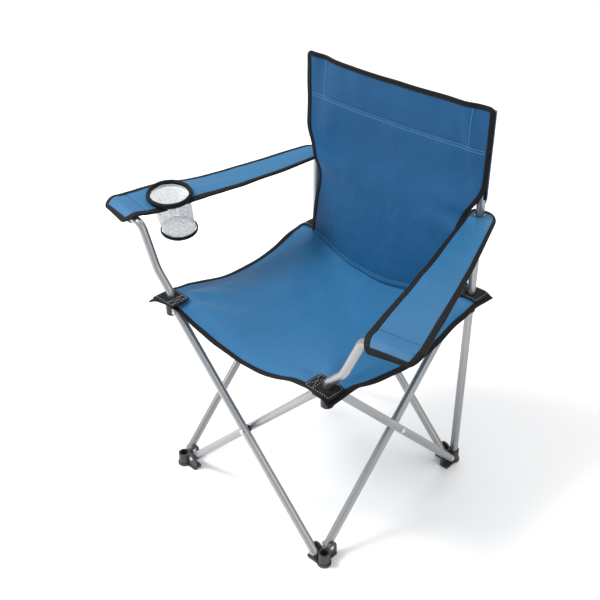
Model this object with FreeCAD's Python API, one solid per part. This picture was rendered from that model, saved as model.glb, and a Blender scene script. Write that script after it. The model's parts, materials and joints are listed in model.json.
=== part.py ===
"""Folding camp chair: one STEP file per piece. Millimetres, +Z up, the front towards -Y."""

import FreeCAD
import Part
import math
import os

V = FreeCAD.Vector

# Overall sizes
PIN_HALF = 175.5          # centre of the chair to the end pins of a leg, open
HUB_PIN_Z = 387.5         # height of the upper end pins, open
FOOT_PIN_Z = 22.0         # height of the lower end pins
POST_RISE = 362.5         # top of the rear posts above the seat
ARM_FRONT_RISE = 141.5    # armrest underside above the seat, at its front
ARM_REAR_RISE = 168.5     # armrest underside above the seat, at the rear post

# Frame tube
TUBE_DIA = 16.0
TUBE_WALL = 1.2
TUBE_GAP = 2.0            # between the two crossing legs of one side
TUBE_END = 7.0            # tube left beyond each end pin

# Moulded feet and hubs
FACE_INSET = 18.0         # face plane beyond the end pins
POST_GAP = 5.5            # post axis beyond the end pins, less one tube
SOCKET_WALL = 3.0
SOCKET_TOP = 27.0
SOCKET_FLOOR = 4.0
ARM_WALL = 4.2
ARM_HEIGHT = 12.0         # wall above and below an end pin
ARM_LENGTH = 13.0         # wall inboard of an end pin
BASE_THICK = 4.0
HUB_HALF = 16.0           # half the height of a hub

# Pins and rivets
PIN_DIA = 5.0
PIN_HEAD_DIA = 9.0
PIN_HEAD = 1.6
RIVET_DIA = 6.0
RIVET_HEAD_DIA = 11.0
RIVET_HEAD = 2.2
SPACER_DIA = 13.0

# Fits, all radial or face to face
PIN_FIT = 0.05            # end pins and rivets turning in the tubes
POST_FIT = 0.05           # posts fixed in their sockets
SLIDE_FIT = 0.4           # rear hubs sliding on the rear posts
FACE_FIT = 0.2            # tube to wall, spacer and head
SEAM_GAP = 0.3            # between neighbouring cloth solids
CLOTH_FIT = 0.7           # cloth round a post

# Cloth
CLOTH = 1.6
BINDING_WIDTH = 11.0
BINDING_THICK = 3.2
ARMREST_THICK = 3.0
PATCH_WIDTH = 58.0
PATCH_DEPTH = 44.0
PATCH_INSET = 5.0         # patch edge back from the seat tip
PATCH_THICK = 1.6
SEAT_TIP = 30.0           # seat corner beyond the post axis
SEAT_SIDE_SAG = 36.0      # side edges below the corners
SEAT_FRONT_SAG = 49.0     # front edge below the corners
SEAT_REAR_SAG = 24.0
SEAT_SAG = 6.0            # middle of the seat below the sagging edges
SEAM_BEFORE = 46.0        # middle of the seam between seat and back, before the rear posts
SEAM_END_BEFORE = 23.0
SEAM_INSIDE = 11.0        # end of the seam inboard of the post's axis
TAB_INSIDE = 21.0         # rear binding's inner end inboard of the post's axis
SLEEVE_LENGTH = 163.0     # cloth pocket on a rear post
BACK_PAST = 14.0          # top of the back above the rear posts
SLEEVE_INNER = 29.0       # its inner seam inboard of the post's axis
SLEEVE_OUTER = 16.0

# Arm posts and armrests
ARM_KNEE = 13.0           # first bend above the seat
ARM_ELBOW_OUT = 34.0      # second bend outboard of the post's foot
ARM_ELBOW_RISE = 48.5     # second bend above the seat
ARM_KNEE_RADIUS = 24.0
ARM_ELBOW_RADIUS = 60.0
ARM_TURN_OUT = 71.5       # third bend, where the tube turns level
ARM_TURN_RADIUS = 25.0
ARM_TUBE_END = 133.0      # end of the level tube outboard of the post's foot
ARM_SLEEVE_START = 96.0   # inner end of the cloth loop round the level tube
ARM_FRONT_OUT = 131.0     # armrest's middle outboard of the post's foot, at its front
ARM_BESIDE_CUP = 7.0      # armrest's half width at the front, beyond the cup ring
ARM_FRONT_PAST = 9.0      # armrest's front edge beyond the level tube's axis
ARM_SLANT = 7.0           # outer front corner behind the inner one, half of it
ARM_REAR_OUT = 5.0
ARM_REAR_HALF = 20.0
ARM_REAR_PAST = 15.0      # armrest's rear edge beyond the rear post's axis

# Cup holder
CUP_OUT = 88.0            # cup ring's centre outboard of the arm post's foot
CUP_BEHIND = 83.0         # and behind it
CUP_RING_R = 40.0
CUP_WIRE_R = 3.4
CUP_TAPER = 6.5           # pocket's bottom narrower than the ring
CUP_DEPTH = 76.0

TUBE_R = TUBE_DIA / 2
LAYER = TUBE_R + TUBE_GAP / 2
FACE = PIN_HALF + FACE_INSET
POST = PIN_HALF + TUBE_DIA + POST_GAP
SOCKET_R = TUBE_R + SOCKET_WALL
RISE = HUB_PIN_Z - FOOT_PIN_Z
LEG = math.hypot(2 * PIN_HALF, RISE)
LEAN = math.degrees(math.atan2(RISE, 2 * PIN_HALF))
SEAT_Z = HUB_PIN_Z + HUB_HALF + (BINDING_THICK - CLOTH) / 2 + FACE_FIT
POST_TOP_Z = SEAT_Z + POST_RISE
ARM_FRONT_Z = SEAT_Z + ARM_FRONT_RISE
ARM_REAR_Z = SEAT_Z + ARM_REAR_RISE
ARM_TUBE_Z = ARM_FRONT_Z - TUBE_R - FACE_FIT - BINDING_THICK / 2
ARM_FRONT_HALF = CUP_RING_R + ARM_BESIDE_CUP
SLEEVE_BOTTOM_Z = POST_TOP_Z - SLEEVE_LENGTH
SEAM_Y = POST - SEAM_BEFORE
SEAM_END_Y = POST - SEAM_END_BEFORE
SEAM_HALF = POST - SEAM_INSIDE
CUP_X = -POST - CUP_OUT
CUP_Y = -POST + CUP_BEHIND
CUP_BOTTOM_R = CUP_RING_R - CUP_TAPER
CORNERS = ("rear_right", "rear_left", "front_left", "front_right")
SIDES = ("right", "rear", "left", "front")


def turned(shape, quarter):
    """The shape turned by that many quarter turns about the chair's upright axis."""
    copy = shape.copy()
    copy.rotate(V(0, 0, 0), V(0, 0, 1), 90 * quarter)
    return copy


def mirrored_left(shape):
    """The right-hand shape mirrored to the left."""
    return shape.mirror(V(0, 0, 0), V(1, 0, 0))


def group(solids):
    """Separate solids kept as one node."""
    return solids[0] if len(solids) == 1 else Part.makeCompound(solids)


def rounded_box(low, high, radius):
    """A box whose upright edges are rounded."""
    size = high - low
    box = Part.makeBox(size.x, size.y, size.z, low)
    upright = [e for e in box.Edges if abs(e.Vertexes[0].Z - e.Vertexes[1].Z) > 1]
    return box.makeFillet(radius, upright)


# ---------------------------------------------------------------- frame tubes

def leg(layer_x, foot_end):
    """A leg of the right side in the plane layer_x, its foot at y = foot_end * PIN_HALF."""
    length = LEG + 2 * TUBE_END
    start = V(-TUBE_END, 0, 0)
    body = Part.makeCylinder(TUBE_R, length, start, V(1, 0, 0))
    body = body.cut(Part.makeCylinder(TUBE_R - TUBE_WALL, length, start, V(1, 0, 0)))
    holes = ((0, PIN_DIA), (LEG / 2, RIVET_DIA), (LEG, PIN_DIA))
    for along, dia in holes:
        hole = Part.makeCylinder(dia / 2 + PIN_FIT, 2 * TUBE_DIA, V(along, -TUBE_DIA, 0), V(0, 1, 0))
        body = body.cut(hole)
    body.rotate(V(0, 0, 0), V(0, 1, 0), -LEAN)
    body.rotate(V(0, 0, 0), V(0, 0, 1), -90 * foot_end)
    body.translate(V(layer_x, foot_end * PIN_HALF, FOOT_PIN_Z))
    return body


def rear_post():
    """The rear right post, from its foot to the top of the back."""
    base = V(POST, POST, SOCKET_FLOOR)
    height = POST_TOP_Z - SOCKET_FLOOR
    return Part.makeCylinder(TUBE_R, height, base).cut(Part.makeCylinder(TUBE_R - TUBE_WALL, height, base))


def bent_tube(points, radii):
    """A tube through the points, with a bend of each radius at each point between the ends."""
    pieces = []
    start = points[0]
    for before, corner, after, radius in zip(points, points[1:], points[2:], radii):
        back = (before - corner).normalize()
        ahead = (after - corner).normalize()
        half = back.getAngle(ahead) / 2
        reach = radius / math.tan(half)
        first = corner + back * reach
        last = corner + ahead * reach
        centre = corner + (back + ahead).normalize() * (radius / math.sin(half))
        middle = centre + (corner - centre).normalize() * radius
        pieces.append(Part.makeLine(start, first))
        pieces.append(Part.Arc(first, middle, last).toShape())
        start = last
    pieces.append(Part.makeLine(start, points[-1]))
    path = Part.Wire(pieces)
    solids = []
    for radius in (TUBE_R, TUBE_R - TUBE_WALL):
        ring = Part.Wire([Part.makeCircle(radius, points[0], points[1] - points[0])])
        solids.append(path.makePipeShell([ring], True, False))
    return solids[0].cut(solids[1])


def arm_post():
    """The front right arm post: upright in its hub, leaning out in two bends, then level."""
    points = [
        V(POST, -POST, HUB_PIN_Z - HUB_HALF + 1),
        V(POST, -POST, SEAT_Z + ARM_KNEE),
        V(POST + ARM_ELBOW_OUT, -POST, SEAT_Z + ARM_ELBOW_RISE),
        V(POST + ARM_TURN_OUT, -POST, ARM_TUBE_Z),
        V(POST + ARM_TUBE_END, -POST, ARM_TUBE_Z),
    ]
    return bent_tube(points, (ARM_KNEE_RADIUS, ARM_ELBOW_RADIUS, ARM_TURN_RADIUS))


# ---------------------------------------------------------------- mouldings

def walls(bottom, pin_z, top_round):
    """The two walls of a rear right foot, before its socket; a hub uses them mirrored."""
    inner = FACE - ARM_WALL + TUBE_GAP / 2 - FACE_FIT
    outer = FACE + TUBE_GAP / 2 - FACE_FIT
    low = PIN_HALF - ARM_LENGTH
    beside = Part.makeBox(outer - inner, POST - low, pin_z - bottom, V(inner, low, bottom))
    beyond = Part.makeBox(POST - low, outer - inner, pin_z - bottom, V(low, 2 * FACE - outer, bottom))
    cap_a = Part.makeCylinder(ARM_HEIGHT, outer - inner, V(inner, PIN_HALF, pin_z), V(1, 0, 0))
    cap_b = Part.makeCylinder(ARM_HEIGHT, outer - inner, V(PIN_HALF, 2 * FACE - outer, pin_z), V(0, 1, 0))
    shoulder = top_round - pin_z
    fill_a = Part.makeBox(outer - inner, POST - PIN_HALF, shoulder, V(inner, PIN_HALF, pin_z))
    fill_b = Part.makeBox(POST - PIN_HALF, outer - inner, shoulder, V(PIN_HALF, 2 * FACE - outer, pin_z))
    body = beside.fuse([beyond, cap_a, cap_b, fill_a, fill_b])
    hole_a = Part.makeCylinder(PIN_DIA / 2, 40, V(FACE - 20, PIN_HALF, pin_z), V(1, 0, 0))
    hole_b = Part.makeCylinder(PIN_DIA / 2, 40, V(PIN_HALF, FACE - 20, pin_z), V(0, 1, 0))
    return body.cut(hole_a).cut(hole_b)


def foot():
    """The rear right foot: round socket, two walls and a base plate under the tube ends."""
    socket = Part.makeCylinder(SOCKET_R, SOCKET_TOP, V(POST, POST, 0))
    low = PIN_HALF - ARM_LENGTH
    reach = FACE + LAYER + 5
    base_a = rounded_box(V(FACE - 6, low, 0), V(reach, POST + 3, BASE_THICK), 2.9)
    base_b = rounded_box(V(low, FACE - LAYER - 4, 0), V(POST + 3, FACE + 6, BASE_THICK), 2.9)
    disc = Part.makeCylinder(SOCKET_R + 2.5, BASE_THICK, V(POST, POST, 0))
    body = walls(0, FOOT_PIN_Z, SOCKET_TOP).fuse([socket, base_a, base_b, disc])
    bore = Part.makeCylinder(TUBE_R + POST_FIT, 60, V(POST, POST, SOCKET_FLOOR))
    return body.cut(bore).removeSplitter()


def hub(bore_fit):
    """The rear right hub: the foot's walls with the faces swapped, round a collar for the post."""
    bottom = HUB_PIN_Z - HUB_HALF
    collar = Part.makeCylinder(SOCKET_R, 2 * HUB_HALF, V(POST, POST, bottom))
    arms = walls(HUB_PIN_Z - ARM_HEIGHT, HUB_PIN_Z, HUB_PIN_Z + ARM_HEIGHT)
    arms = arms.mirror(V(0, 0, 0), V(1, -1, 0))
    flange = Part.makeCylinder(SOCKET_R + 3, 2.5, V(POST, POST, bottom + 2 * HUB_HALF - 2.5))
    body = collar.fuse([arms, flange])
    bore = Part.makeCylinder(TUBE_R + bore_fit, 80, V(POST, POST, bottom - 20))
    return body.cut(bore).removeSplitter()


# ---------------------------------------------------------------- fasteners

def rivet(start, direction, grip, dia, head_dia, head):
    """A shank of length grip with a head, cut to a flat cone, past each end."""
    shank = Part.makeCylinder(dia / 2, grip, start, direction)
    near = Part.makeCone(head_dia / 2, head_dia / 3, head, start, direction * -1)
    far = Part.makeCone(head_dia / 2, head_dia / 3, head, start + direction * grip, direction)
    return shank.fuse([near, far])


def end_pins(pin_z, swap):
    """The two pins of one rear right foot or hub."""
    inner = FACE - ARM_WALL + TUBE_GAP / 2 - FACE_FIT
    outer_grip = FACE + LAYER + TUBE_R + FACE_FIT - inner
    inner_start = FACE - LAYER - TUBE_R - FACE_FIT
    inner_grip = 2 * FACE - inner - inner_start
    first = rivet(V(inner, PIN_HALF, pin_z), V(1, 0, 0), outer_grip, PIN_DIA, PIN_HEAD_DIA, PIN_HEAD)
    second = rivet(V(PIN_HALF, inner_start, pin_z), V(0, 1, 0), inner_grip, PIN_DIA, PIN_HEAD_DIA, PIN_HEAD)
    pair = Part.makeCompound([first, second])
    return pair.mirror(V(0, 0, 0), V(1, -1, 0)) if swap else pair


def cross_rivet():
    """The rivet where the two legs of the right side cross."""
    start = V(FACE - LAYER - TUBE_R - FACE_FIT, 0, FOOT_PIN_Z + RISE / 2)
    grip = 2 * (LAYER + TUBE_R + FACE_FIT)
    return rivet(start, V(1, 0, 0), grip, RIVET_DIA, RIVET_HEAD_DIA, RIVET_HEAD)


def cross_spacer():
    """The washer between the two legs of the right side."""
    thick = TUBE_GAP - 2 * FACE_FIT
    base = V(FACE - thick / 2, 0, FOOT_PIN_Z + RISE / 2)
    disc = Part.makeCylinder(SPACER_DIA / 2, thick, base, V(1, 0, 0))
    return disc.cut(Part.makeCylinder(RIVET_DIA / 2 + PIN_FIT, thick, base, V(1, 0, 0)))


# ---------------------------------------------------------------- cloth

def cloth(surface, u_range, v_range, lift, thick, steps=(13, 13)):
    """A solid of the surface function between the ranges, thick along lift."""
    rows = []
    for i in range(steps[0]):
        u = u_range[0] + (u_range[1] - u_range[0]) * i / (steps[0] - 1)
        row = []
        for j in range(steps[1]):
            v = v_range[0] + (v_range[1] - v_range[0]) * j / (steps[1] - 1)
            row.append(surface(u, v))
        rows.append(row)
    sheet = Part.BSplineSurface()
    sheet.interpolate(rows)
    return sheet.toShape().extrude(lift * thick)


def between(table, t):
    """Smooth value at t from a table of (t, value) pairs, without overshoot at the ends."""
    last = len(table) - 1
    slopes = []
    for i in range(last + 1):
        before = table[max(0, i - 1)]
        after = table[min(last, i + 1)]
        slopes.append((after[1] - before[1]) / (after[0] - before[0]))
    for i in range(last):
        (t0, v0), (t1, v1) = table[i], table[i + 1]
        if t <= t1 or i == last - 1:
            span = t1 - t0
            f = min(1.0, max(0.0, (t - t0) / span))
            keep = 2 * f ** 3 - 3 * f ** 2 + 1
            rise = f ** 3 - 2 * f ** 2 + f
            settle = f ** 3 - f ** 2
            return keep * v0 + rise * span * slopes[i] + (1 - keep) * v1 + settle * span * slopes[i + 1]


def crown(u):
    """1 in the middle of the chair, smoothly down to 0 where the hubs hold the cloth."""
    return max(0.0, 1 - (u / 0.85) ** 2) ** 2


def seat_point(u, v):
    """Point of the seat, u from -1 to 1 across and v from 0 at the front to 1 at the rear."""
    tip = POST + SEAT_TIP
    held = min(1.0, max(0.0, (v - 0.1) / 0.8))
    side_sag = SEAT_SIDE_SAG * math.sin(math.pi * held) ** 1.3
    end_sag = SEAT_FRONT_SAG * (1 - v) ** 1.6 + SEAT_REAR_SAG * v ** 1.6
    pull = 24 * (1 - u * u) * (1 - v) ** 3
    z = SEAT_Z - side_sag * (0.45 + 0.55 * u * u) - (end_sag + SEAT_SAG * math.sin(math.pi * v)) * crown(u)
    return V(tip * u, 2 * tip * v - tip + pull, z)


def seam_point(u):
    """Point on the seat's upper face where the back stands on it, u from -1 to 1 across."""
    x = SEAM_HALF * u
    y = SEAM_END_Y - (SEAM_END_Y - SEAM_Y) * (1 - u * u)
    tip = POST + SEAT_TIP
    seat = seat_point(x / tip, (y + tip) / (2 * tip))
    return V(x, y, seat.z + CLOTH + SEAM_GAP)


BACK_HALF = (
    (0, 0), (45, -6), (95, -11), (150, -11), (175, -9), (190, -4), (203, 7), (220, 24), (245, 28), (397, 28),
)
BACK_Y = ((0, 0), (55, 14), (115, 28), (175, 34), (235, 36.0), (397, 36.0))
BACK_REAR_Y = POST - TUBE_R - CLOTH_FIT - (BINDING_THICK - CLOTH) / 2 - 0.8
BACK_TOP_Z = POST_TOP_Z + BACK_PAST


def back_point(u, w):
    """Point of the back's rear face, u from -1 to 1 across and w from 0 at the seat to 1 at the top."""
    seam = seam_point(u)
    level = 397 * w
    arch = 1 - u * u
    x = seam.x + between(BACK_HALF, level) * u
    y = BACK_REAR_Y - 36.0 + between(BACK_Y, level) + 9 * arch ** 2 * math.sin(math.pi * min(1, 1.15 * w))
    y += (seam.y - BACK_REAR_Y + 36.0) * (1 - w) ** 6
    z = seam.z + (BACK_TOP_Z - seam.z) * w
    return V(x, y, z - 7 * arch * w ** 6)


ARM_FRONT = V(POST + ARM_FRONT_OUT, -POST - ARM_FRONT_PAST, ARM_FRONT_HALF)
ARM_REAR = V(POST + ARM_REAR_OUT, POST + ARM_REAR_PAST, ARM_REAR_HALF)


def arm_point(u, v):
    """Point of the right armrest's underside, u from -1 inboard to 1 outboard, v from front to rear."""
    x = ARM_FRONT.x + (ARM_REAR.x - ARM_FRONT.x) * v
    y = ARM_FRONT.y + (ARM_REAR.y - ARM_FRONT.y) * v + ARM_SLANT * u * (1 - v)
    half = ARM_FRONT.z + (ARM_REAR.z - ARM_FRONT.z) * v ** 1.3
    dip = 7 * math.sin(math.pi * max(0.0, (v - 0.1) / 0.9)) ** 1.3
    z = ARM_FRONT_Z + (ARM_REAR_Z - ARM_FRONT_Z) * v - dip
    return V(x + half * u, y, z)


UP = V(0, 0, 1)
BACKWARD = V(0, 1, 0)


def post_hole(x, y, low, high):
    """Clearance cylinder for a post through cloth."""
    return Part.makeCylinder(TUBE_R + CLOTH_FIT, high - low, V(x, y, low))


def rear_opening():
    """What is cut from the seat behind the seam, between the two corners that hold the rear posts."""
    half = (
        (-POST, SEAM_Y + 4), (-127, SEAM_Y + 9), (-67, SEAM_Y + 22), (-37, SEAM_END_Y + 12), (-26, POST + 8),
    )
    right = [V(POST + x, y, 0) for x, y in half]
    left = [V(-point.x, point.y, 0) for point in reversed(right[1:])]
    curve = Part.BSplineCurve()
    curve.interpolate(left + right)
    far = POST + SEAT_TIP + 20
    ends = (V(right[-1].x, far, 0), V(-right[-1].x, far, 0))
    outline = [curve.toShape(), Part.makeLine(right[-1], ends[0])]
    outline += [Part.makeLine(ends[0], ends[1]), Part.makeLine(ends[1], left[0])]
    face = Part.Face(Part.Wire(outline))
    face.translate(V(0, 0, SEAT_Z - 120))
    return face.extrude(V(0, 0, 240))


def seat_halves():
    """The seat's front and rear halves with their bindings, as four shapes."""
    tip = POST + SEAT_TIP
    side = 1 - BINDING_WIDTH / tip
    lip = BINDING_WIDTH / (2 * tip)
    gap = SEAM_GAP / (2 * tip)
    bind_lift = (CLOTH - BINDING_THICK) / 2
    front = cloth(seat_point, (-side, side), (lip, 0.5 - gap), UP, CLOTH, (33, 19))
    rear = cloth(seat_point, (-side, side), (0.5 + gap, 1 - lip), UP, CLOTH, (33, 19)).cut(rear_opening())

    def strip(u_range, v_range, steps):
        """One length of binding."""
        solid = cloth(seat_point, u_range, v_range, UP, BINDING_THICK, steps)
        solid.translate(V(0, 0, bind_lift))
        return solid

    inner = side + 2 * gap
    tab = (POST - TAB_INSIDE) / tip
    front_binding = [
        strip((-1, 1), (0, lip - gap), (33, 4)),
        strip((inner, 1), (lip, 0.5 - gap), (4, 15)),
        strip((-1, -inner), (lip, 0.5 - gap), (4, 15)),
    ]
    rear_binding = [
        strip((tab, 1), (1 - lip + gap, 1), (8, 4)),
        strip((-1, -tab), (1 - lip + gap, 1), (8, 4)),
        strip((inner, 1), (0.5 + gap, 1 - lip), (4, 15)),
        strip((-1, -inner), (0.5 + gap, 1 - lip), (4, 15)),
    ]
    for sign in (-1, 1):
        front = front.cut(post_hole(sign * POST, -POST, SEAT_Z - 90, SEAT_Z + 60))
        rear = rear.cut(post_hole(sign * POST, POST, SEAT_Z - 90, SEAT_Z + 60))
    return front, rear, group(front_binding), group(rear_binding)


def patch():
    """The black square on the seat's rear right corner, resting on the cloth over the hub."""
    edge_at = POST + SEAT_TIP - PATCH_INSET
    rest_z = SEAT_Z + (CLOTH + BINDING_THICK) / 2 + 2 * SEAM_GAP
    corner = V(edge_at - PATCH_WIDTH, edge_at - PATCH_DEPTH, rest_z)
    high = corner + V(PATCH_WIDTH, PATCH_DEPTH, PATCH_THICK)
    return rounded_box(corner, high, 4).cut(post_hole(POST, POST, SEAT_Z, SEAT_Z + 20))


def back():
    """The back panel and its binding."""
    side = 1 - BINDING_WIDTH / SEAM_HALF
    lip = 1 - BINDING_WIDTH / (BACK_TOP_Z - SEAT_Z)
    gap = SEAM_GAP / SEAM_HALF
    panel = cloth(back_point, (-side, side), (0, lip), BACKWARD, -CLOTH, (21, 25))
    lift = (BINDING_THICK - CLOTH) / 2
    strips = [
        cloth(back_point, (-1, 1), (lip + gap, 1), BACKWARD, -BINDING_THICK, (21, 4)),
        cloth(back_point, (side + gap, 1), (0, lip), BACKWARD, -BINDING_THICK, (4, 25)),
        cloth(back_point, (-1, -side - gap), (0, lip), BACKWARD, -BINDING_THICK, (4, 25)),
    ]
    for solid in strips:
        solid.translate(V(0, lift, 0))
    return panel, group(strips)


def sleeve():
    """The pocket cloth round the back of the right rear post, stitched to the panel's rear face."""
    radius = TUBE_R + CLOTH_FIT
    front_y = POST - radius + 0.1
    inner_x = POST - SLEEVE_INNER
    outer_x = POST + SLEEVE_OUTER
    height = POST_TOP_Z - SLEEVE_BOTTOM_Z

    def outline(offset):
        """The pocket's curve at that offset, closed along the front."""
        r = radius + offset
        a = V(inner_x - offset, front_y, SLEEVE_BOTTOM_Z)
        b = V(POST - r * 0.80, POST + r * 0.60, SLEEVE_BOTTOM_Z)
        c = V(POST, POST + r, SLEEVE_BOTTOM_Z)
        d = V(POST + r * 0.80, POST + r * 0.60, SLEEVE_BOTTOM_Z)
        e = V(outer_x + offset, front_y, SLEEVE_BOTTOM_Z)
        arc = Part.Arc(b, c, d).toShape()
        return Part.Face(Part.Wire([Part.makeLine(a, b), arc, Part.makeLine(d, e), Part.makeLine(e, a)]))

    return outline(CLOTH).extrude(UP * height).cut(outline(0).extrude(UP * height))


def armrest(cup):
    """The right armrest and its binding; cup says whether the cup ring's hole is cut in it."""
    side = 1 - BINDING_WIDTH / ARM_FRONT_HALF
    lip = BINDING_WIDTH / (ARM_REAR.y - ARM_FRONT.y)
    gap = 1.5 * SEAM_GAP / ARM_REAR_HALF
    drop = (ARMREST_THICK - BINDING_THICK) / 2 - 0.4
    thick = BINDING_THICK + 0.8
    panel = cloth(arm_point, (-side, side), (lip, 1 - lip), UP, ARMREST_THICK, (9, 17))
    strips = [
        cloth(arm_point, (-1, 1), (0, lip - gap / 10), UP, thick, (9, 4)),
        cloth(arm_point, (-1, 1), (1 - lip + gap / 10, 1), UP, thick, (9, 4)),
        cloth(arm_point, (side + gap, 1), (lip, 1 - lip), UP, thick, (4, 17)),
        cloth(arm_point, (-1, -side - gap), (lip, 1 - lip), UP, thick, (4, 17)),
    ]
    for solid in strips:
        solid.translate(V(0, 0, drop))
    hole = post_hole(POST, POST, ARM_REAR_Z - 40, ARM_REAR_Z + 40)
    panel = max(panel.cut(hole).Solids, key=lambda solid: solid.Volume)
    strips = [solid.cut(hole) for solid in strips]
    if cup:
        opening = Part.makeCylinder(CUP_RING_R - CUP_WIRE_R + 0.6, 80, V(-CUP_X, CUP_Y, ARM_FRONT_Z - 40))
        panel = panel.cut(opening)
        strips = [solid.cut(opening) for solid in strips]
    return panel, group(strips)


def arm_sleeve():
    """The cloth loop under the right armrest that holds the level tube of the arm post."""
    inner = TUBE_R + CLOTH_FIT
    outer = inner + CLOTH
    start = POST + ARM_SLEEVE_START
    length = ARM_TUBE_END - ARM_SLEEVE_START
    top = ARM_FRONT_Z + (ARMREST_THICK - BINDING_THICK) / 2 - 0.4 - FACE_FIT
    base = V(start, -POST, ARM_TUBE_Z)
    solids = []
    for radius in (outer, inner):
        round_part = Part.makeCylinder(radius, length, base, V(1, 0, 0))
        sides = Part.makeBox(length, 2 * radius, 40, V(start, -POST - radius, ARM_TUBE_Z))
        solids.append(round_part.fuse(sides))
    above = Part.makeBox(length, 60, 80, V(start, -POST - 30, top))
    return solids[0].cut(solids[1]).cut(above)


def cup_parts():
    """The cup ring, the mesh pocket hanging in it and the pocket's bottom hoop."""
    v = (CUP_Y - ARM_FRONT.y) / (ARM_REAR.y - ARM_FRONT.y)
    rest_z = arm_point(0, v).z + ARMREST_THICK + CUP_WIRE_R + 1.6
    top = V(CUP_X, CUP_Y, rest_z)
    low = top - UP * CUP_DEPTH
    ring = Part.makeTorus(CUP_RING_R, CUP_WIRE_R, top)
    mouth_r = CUP_RING_R - CUP_WIRE_R - FACE_FIT
    wall = Part.makeCone(CUP_BOTTOM_R, mouth_r, CUP_DEPTH, low)
    room = Part.makeCone(CUP_BOTTOM_R - 1.0, mouth_r - 1.0, CUP_DEPTH - 1.2, low + UP * 1.2)
    pocket = wall.cut(room)
    hoop = Part.makeCylinder(CUP_BOTTOM_R + 2.4, 6, low)
    hoop = hoop.cut(Part.makeCylinder(CUP_BOTTOM_R + 0.8, 6, low))
    return ring, pocket, hoop


# ---------------------------------------------------------------- assembly

def build():
    """Every node's shape by name, in the chair's own frame."""
    shapes = {}
    outer_leg = leg(FACE + LAYER, 1)
    inner_leg = leg(FACE - LAYER, -1)
    plain_foot = foot()
    sliding_hub = hub(SLIDE_FIT)
    fixed_hub = hub(POST_FIT)
    for quarter, side in enumerate(SIDES):
        shapes["leg_" + side + "_outer"] = turned(outer_leg, quarter)
        shapes["leg_" + side + "_inner"] = turned(inner_leg, quarter)
        shapes["cross_rivet_" + side] = turned(cross_rivet(), quarter)
        shapes["cross_spacer_" + side] = turned(cross_spacer(), quarter)
    for quarter, corner in enumerate(CORNERS):
        shapes["foot_" + corner] = turned(plain_foot, quarter)
        shapes["hub_" + corner] = turned(sliding_hub if quarter < 2 else fixed_hub, quarter)
        shapes["foot_pins_" + corner] = turned(end_pins(FOOT_PIN_Z, False), quarter)
        shapes["hub_pins_" + corner] = turned(end_pins(HUB_PIN_Z, True), quarter)
    rear_patch = patch()
    front_patch = rear_patch.mirror(V(0, 0, 0), V(0, 1, 0))
    shapes["corner_patch_rear_right"] = rear_patch
    shapes["corner_patch_rear_left"] = mirrored_left(rear_patch)
    shapes["corner_patch_front_right"] = front_patch
    shapes["corner_patch_front_left"] = mirrored_left(front_patch)
    shapes["rear_post_right"] = rear_post()
    shapes["rear_post_left"] = mirrored_left(rear_post())
    shapes["arm_post_right"] = arm_post()
    shapes["arm_post_left"] = mirrored_left(arm_post())
    seat_front, seat_rear, seat_front_binding, seat_rear_binding = seat_halves()
    shapes["seat_front"] = seat_front
    shapes["seat_rear"] = seat_rear
    shapes["seat_front_binding"] = seat_front_binding
    shapes["seat_rear_binding"] = seat_rear_binding
    shapes["back_panel"], shapes["back_binding"] = back()
    shapes["back_sleeve_right"] = sleeve()
    shapes["back_sleeve_left"] = mirrored_left(sleeve())
    shapes["armrest_right"], shapes["armrest_right_binding"] = armrest(False)
    panel, binding = armrest(True)
    shapes["armrest_left"] = mirrored_left(panel)
    shapes["armrest_left_binding"] = mirrored_left(binding)
    shapes["arm_sleeve_right"] = arm_sleeve()
    shapes["arm_sleeve_left"] = mirrored_left(arm_sleeve())
    shapes["cup_ring"], shapes["cup_pocket"], shapes["cup_hoop"] = cup_parts()
    return shapes


def export(shapes):
    """Writes the shapes with the origin under the middle of the whole chair."""
    box = FreeCAD.BoundBox()
    for shape in shapes.values():
        box.add(shape.optimalBoundingBox(False))
    shift = V(-box.Center.x, -box.Center.y, -box.ZMin)
    os.makedirs("parts", exist_ok=True)
    for name, shape in sorted(shapes.items()):
        shape.translate(shift)
        shape.exportStep("parts/" + name + ".step")
        print(name, len(shape.Solids), shape.isValid(), round(shape.Volume / 1000, 2))
    print("shift", [round(value, 4) for value in shift])
    print("size", round(box.XLength, 2), round(box.YLength, 2), round(box.ZLength, 2))


export(build())
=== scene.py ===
"""Looks of a folding camp chair: cloth, tape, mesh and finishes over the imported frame."""

import json
import logging
import math
from dataclasses import dataclass, field
from enum import Enum
from typing import Callable, Iterable, Optional, Sequence

import bmesh
import bpy
from mathutils import Matrix, Vector, noise

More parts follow.
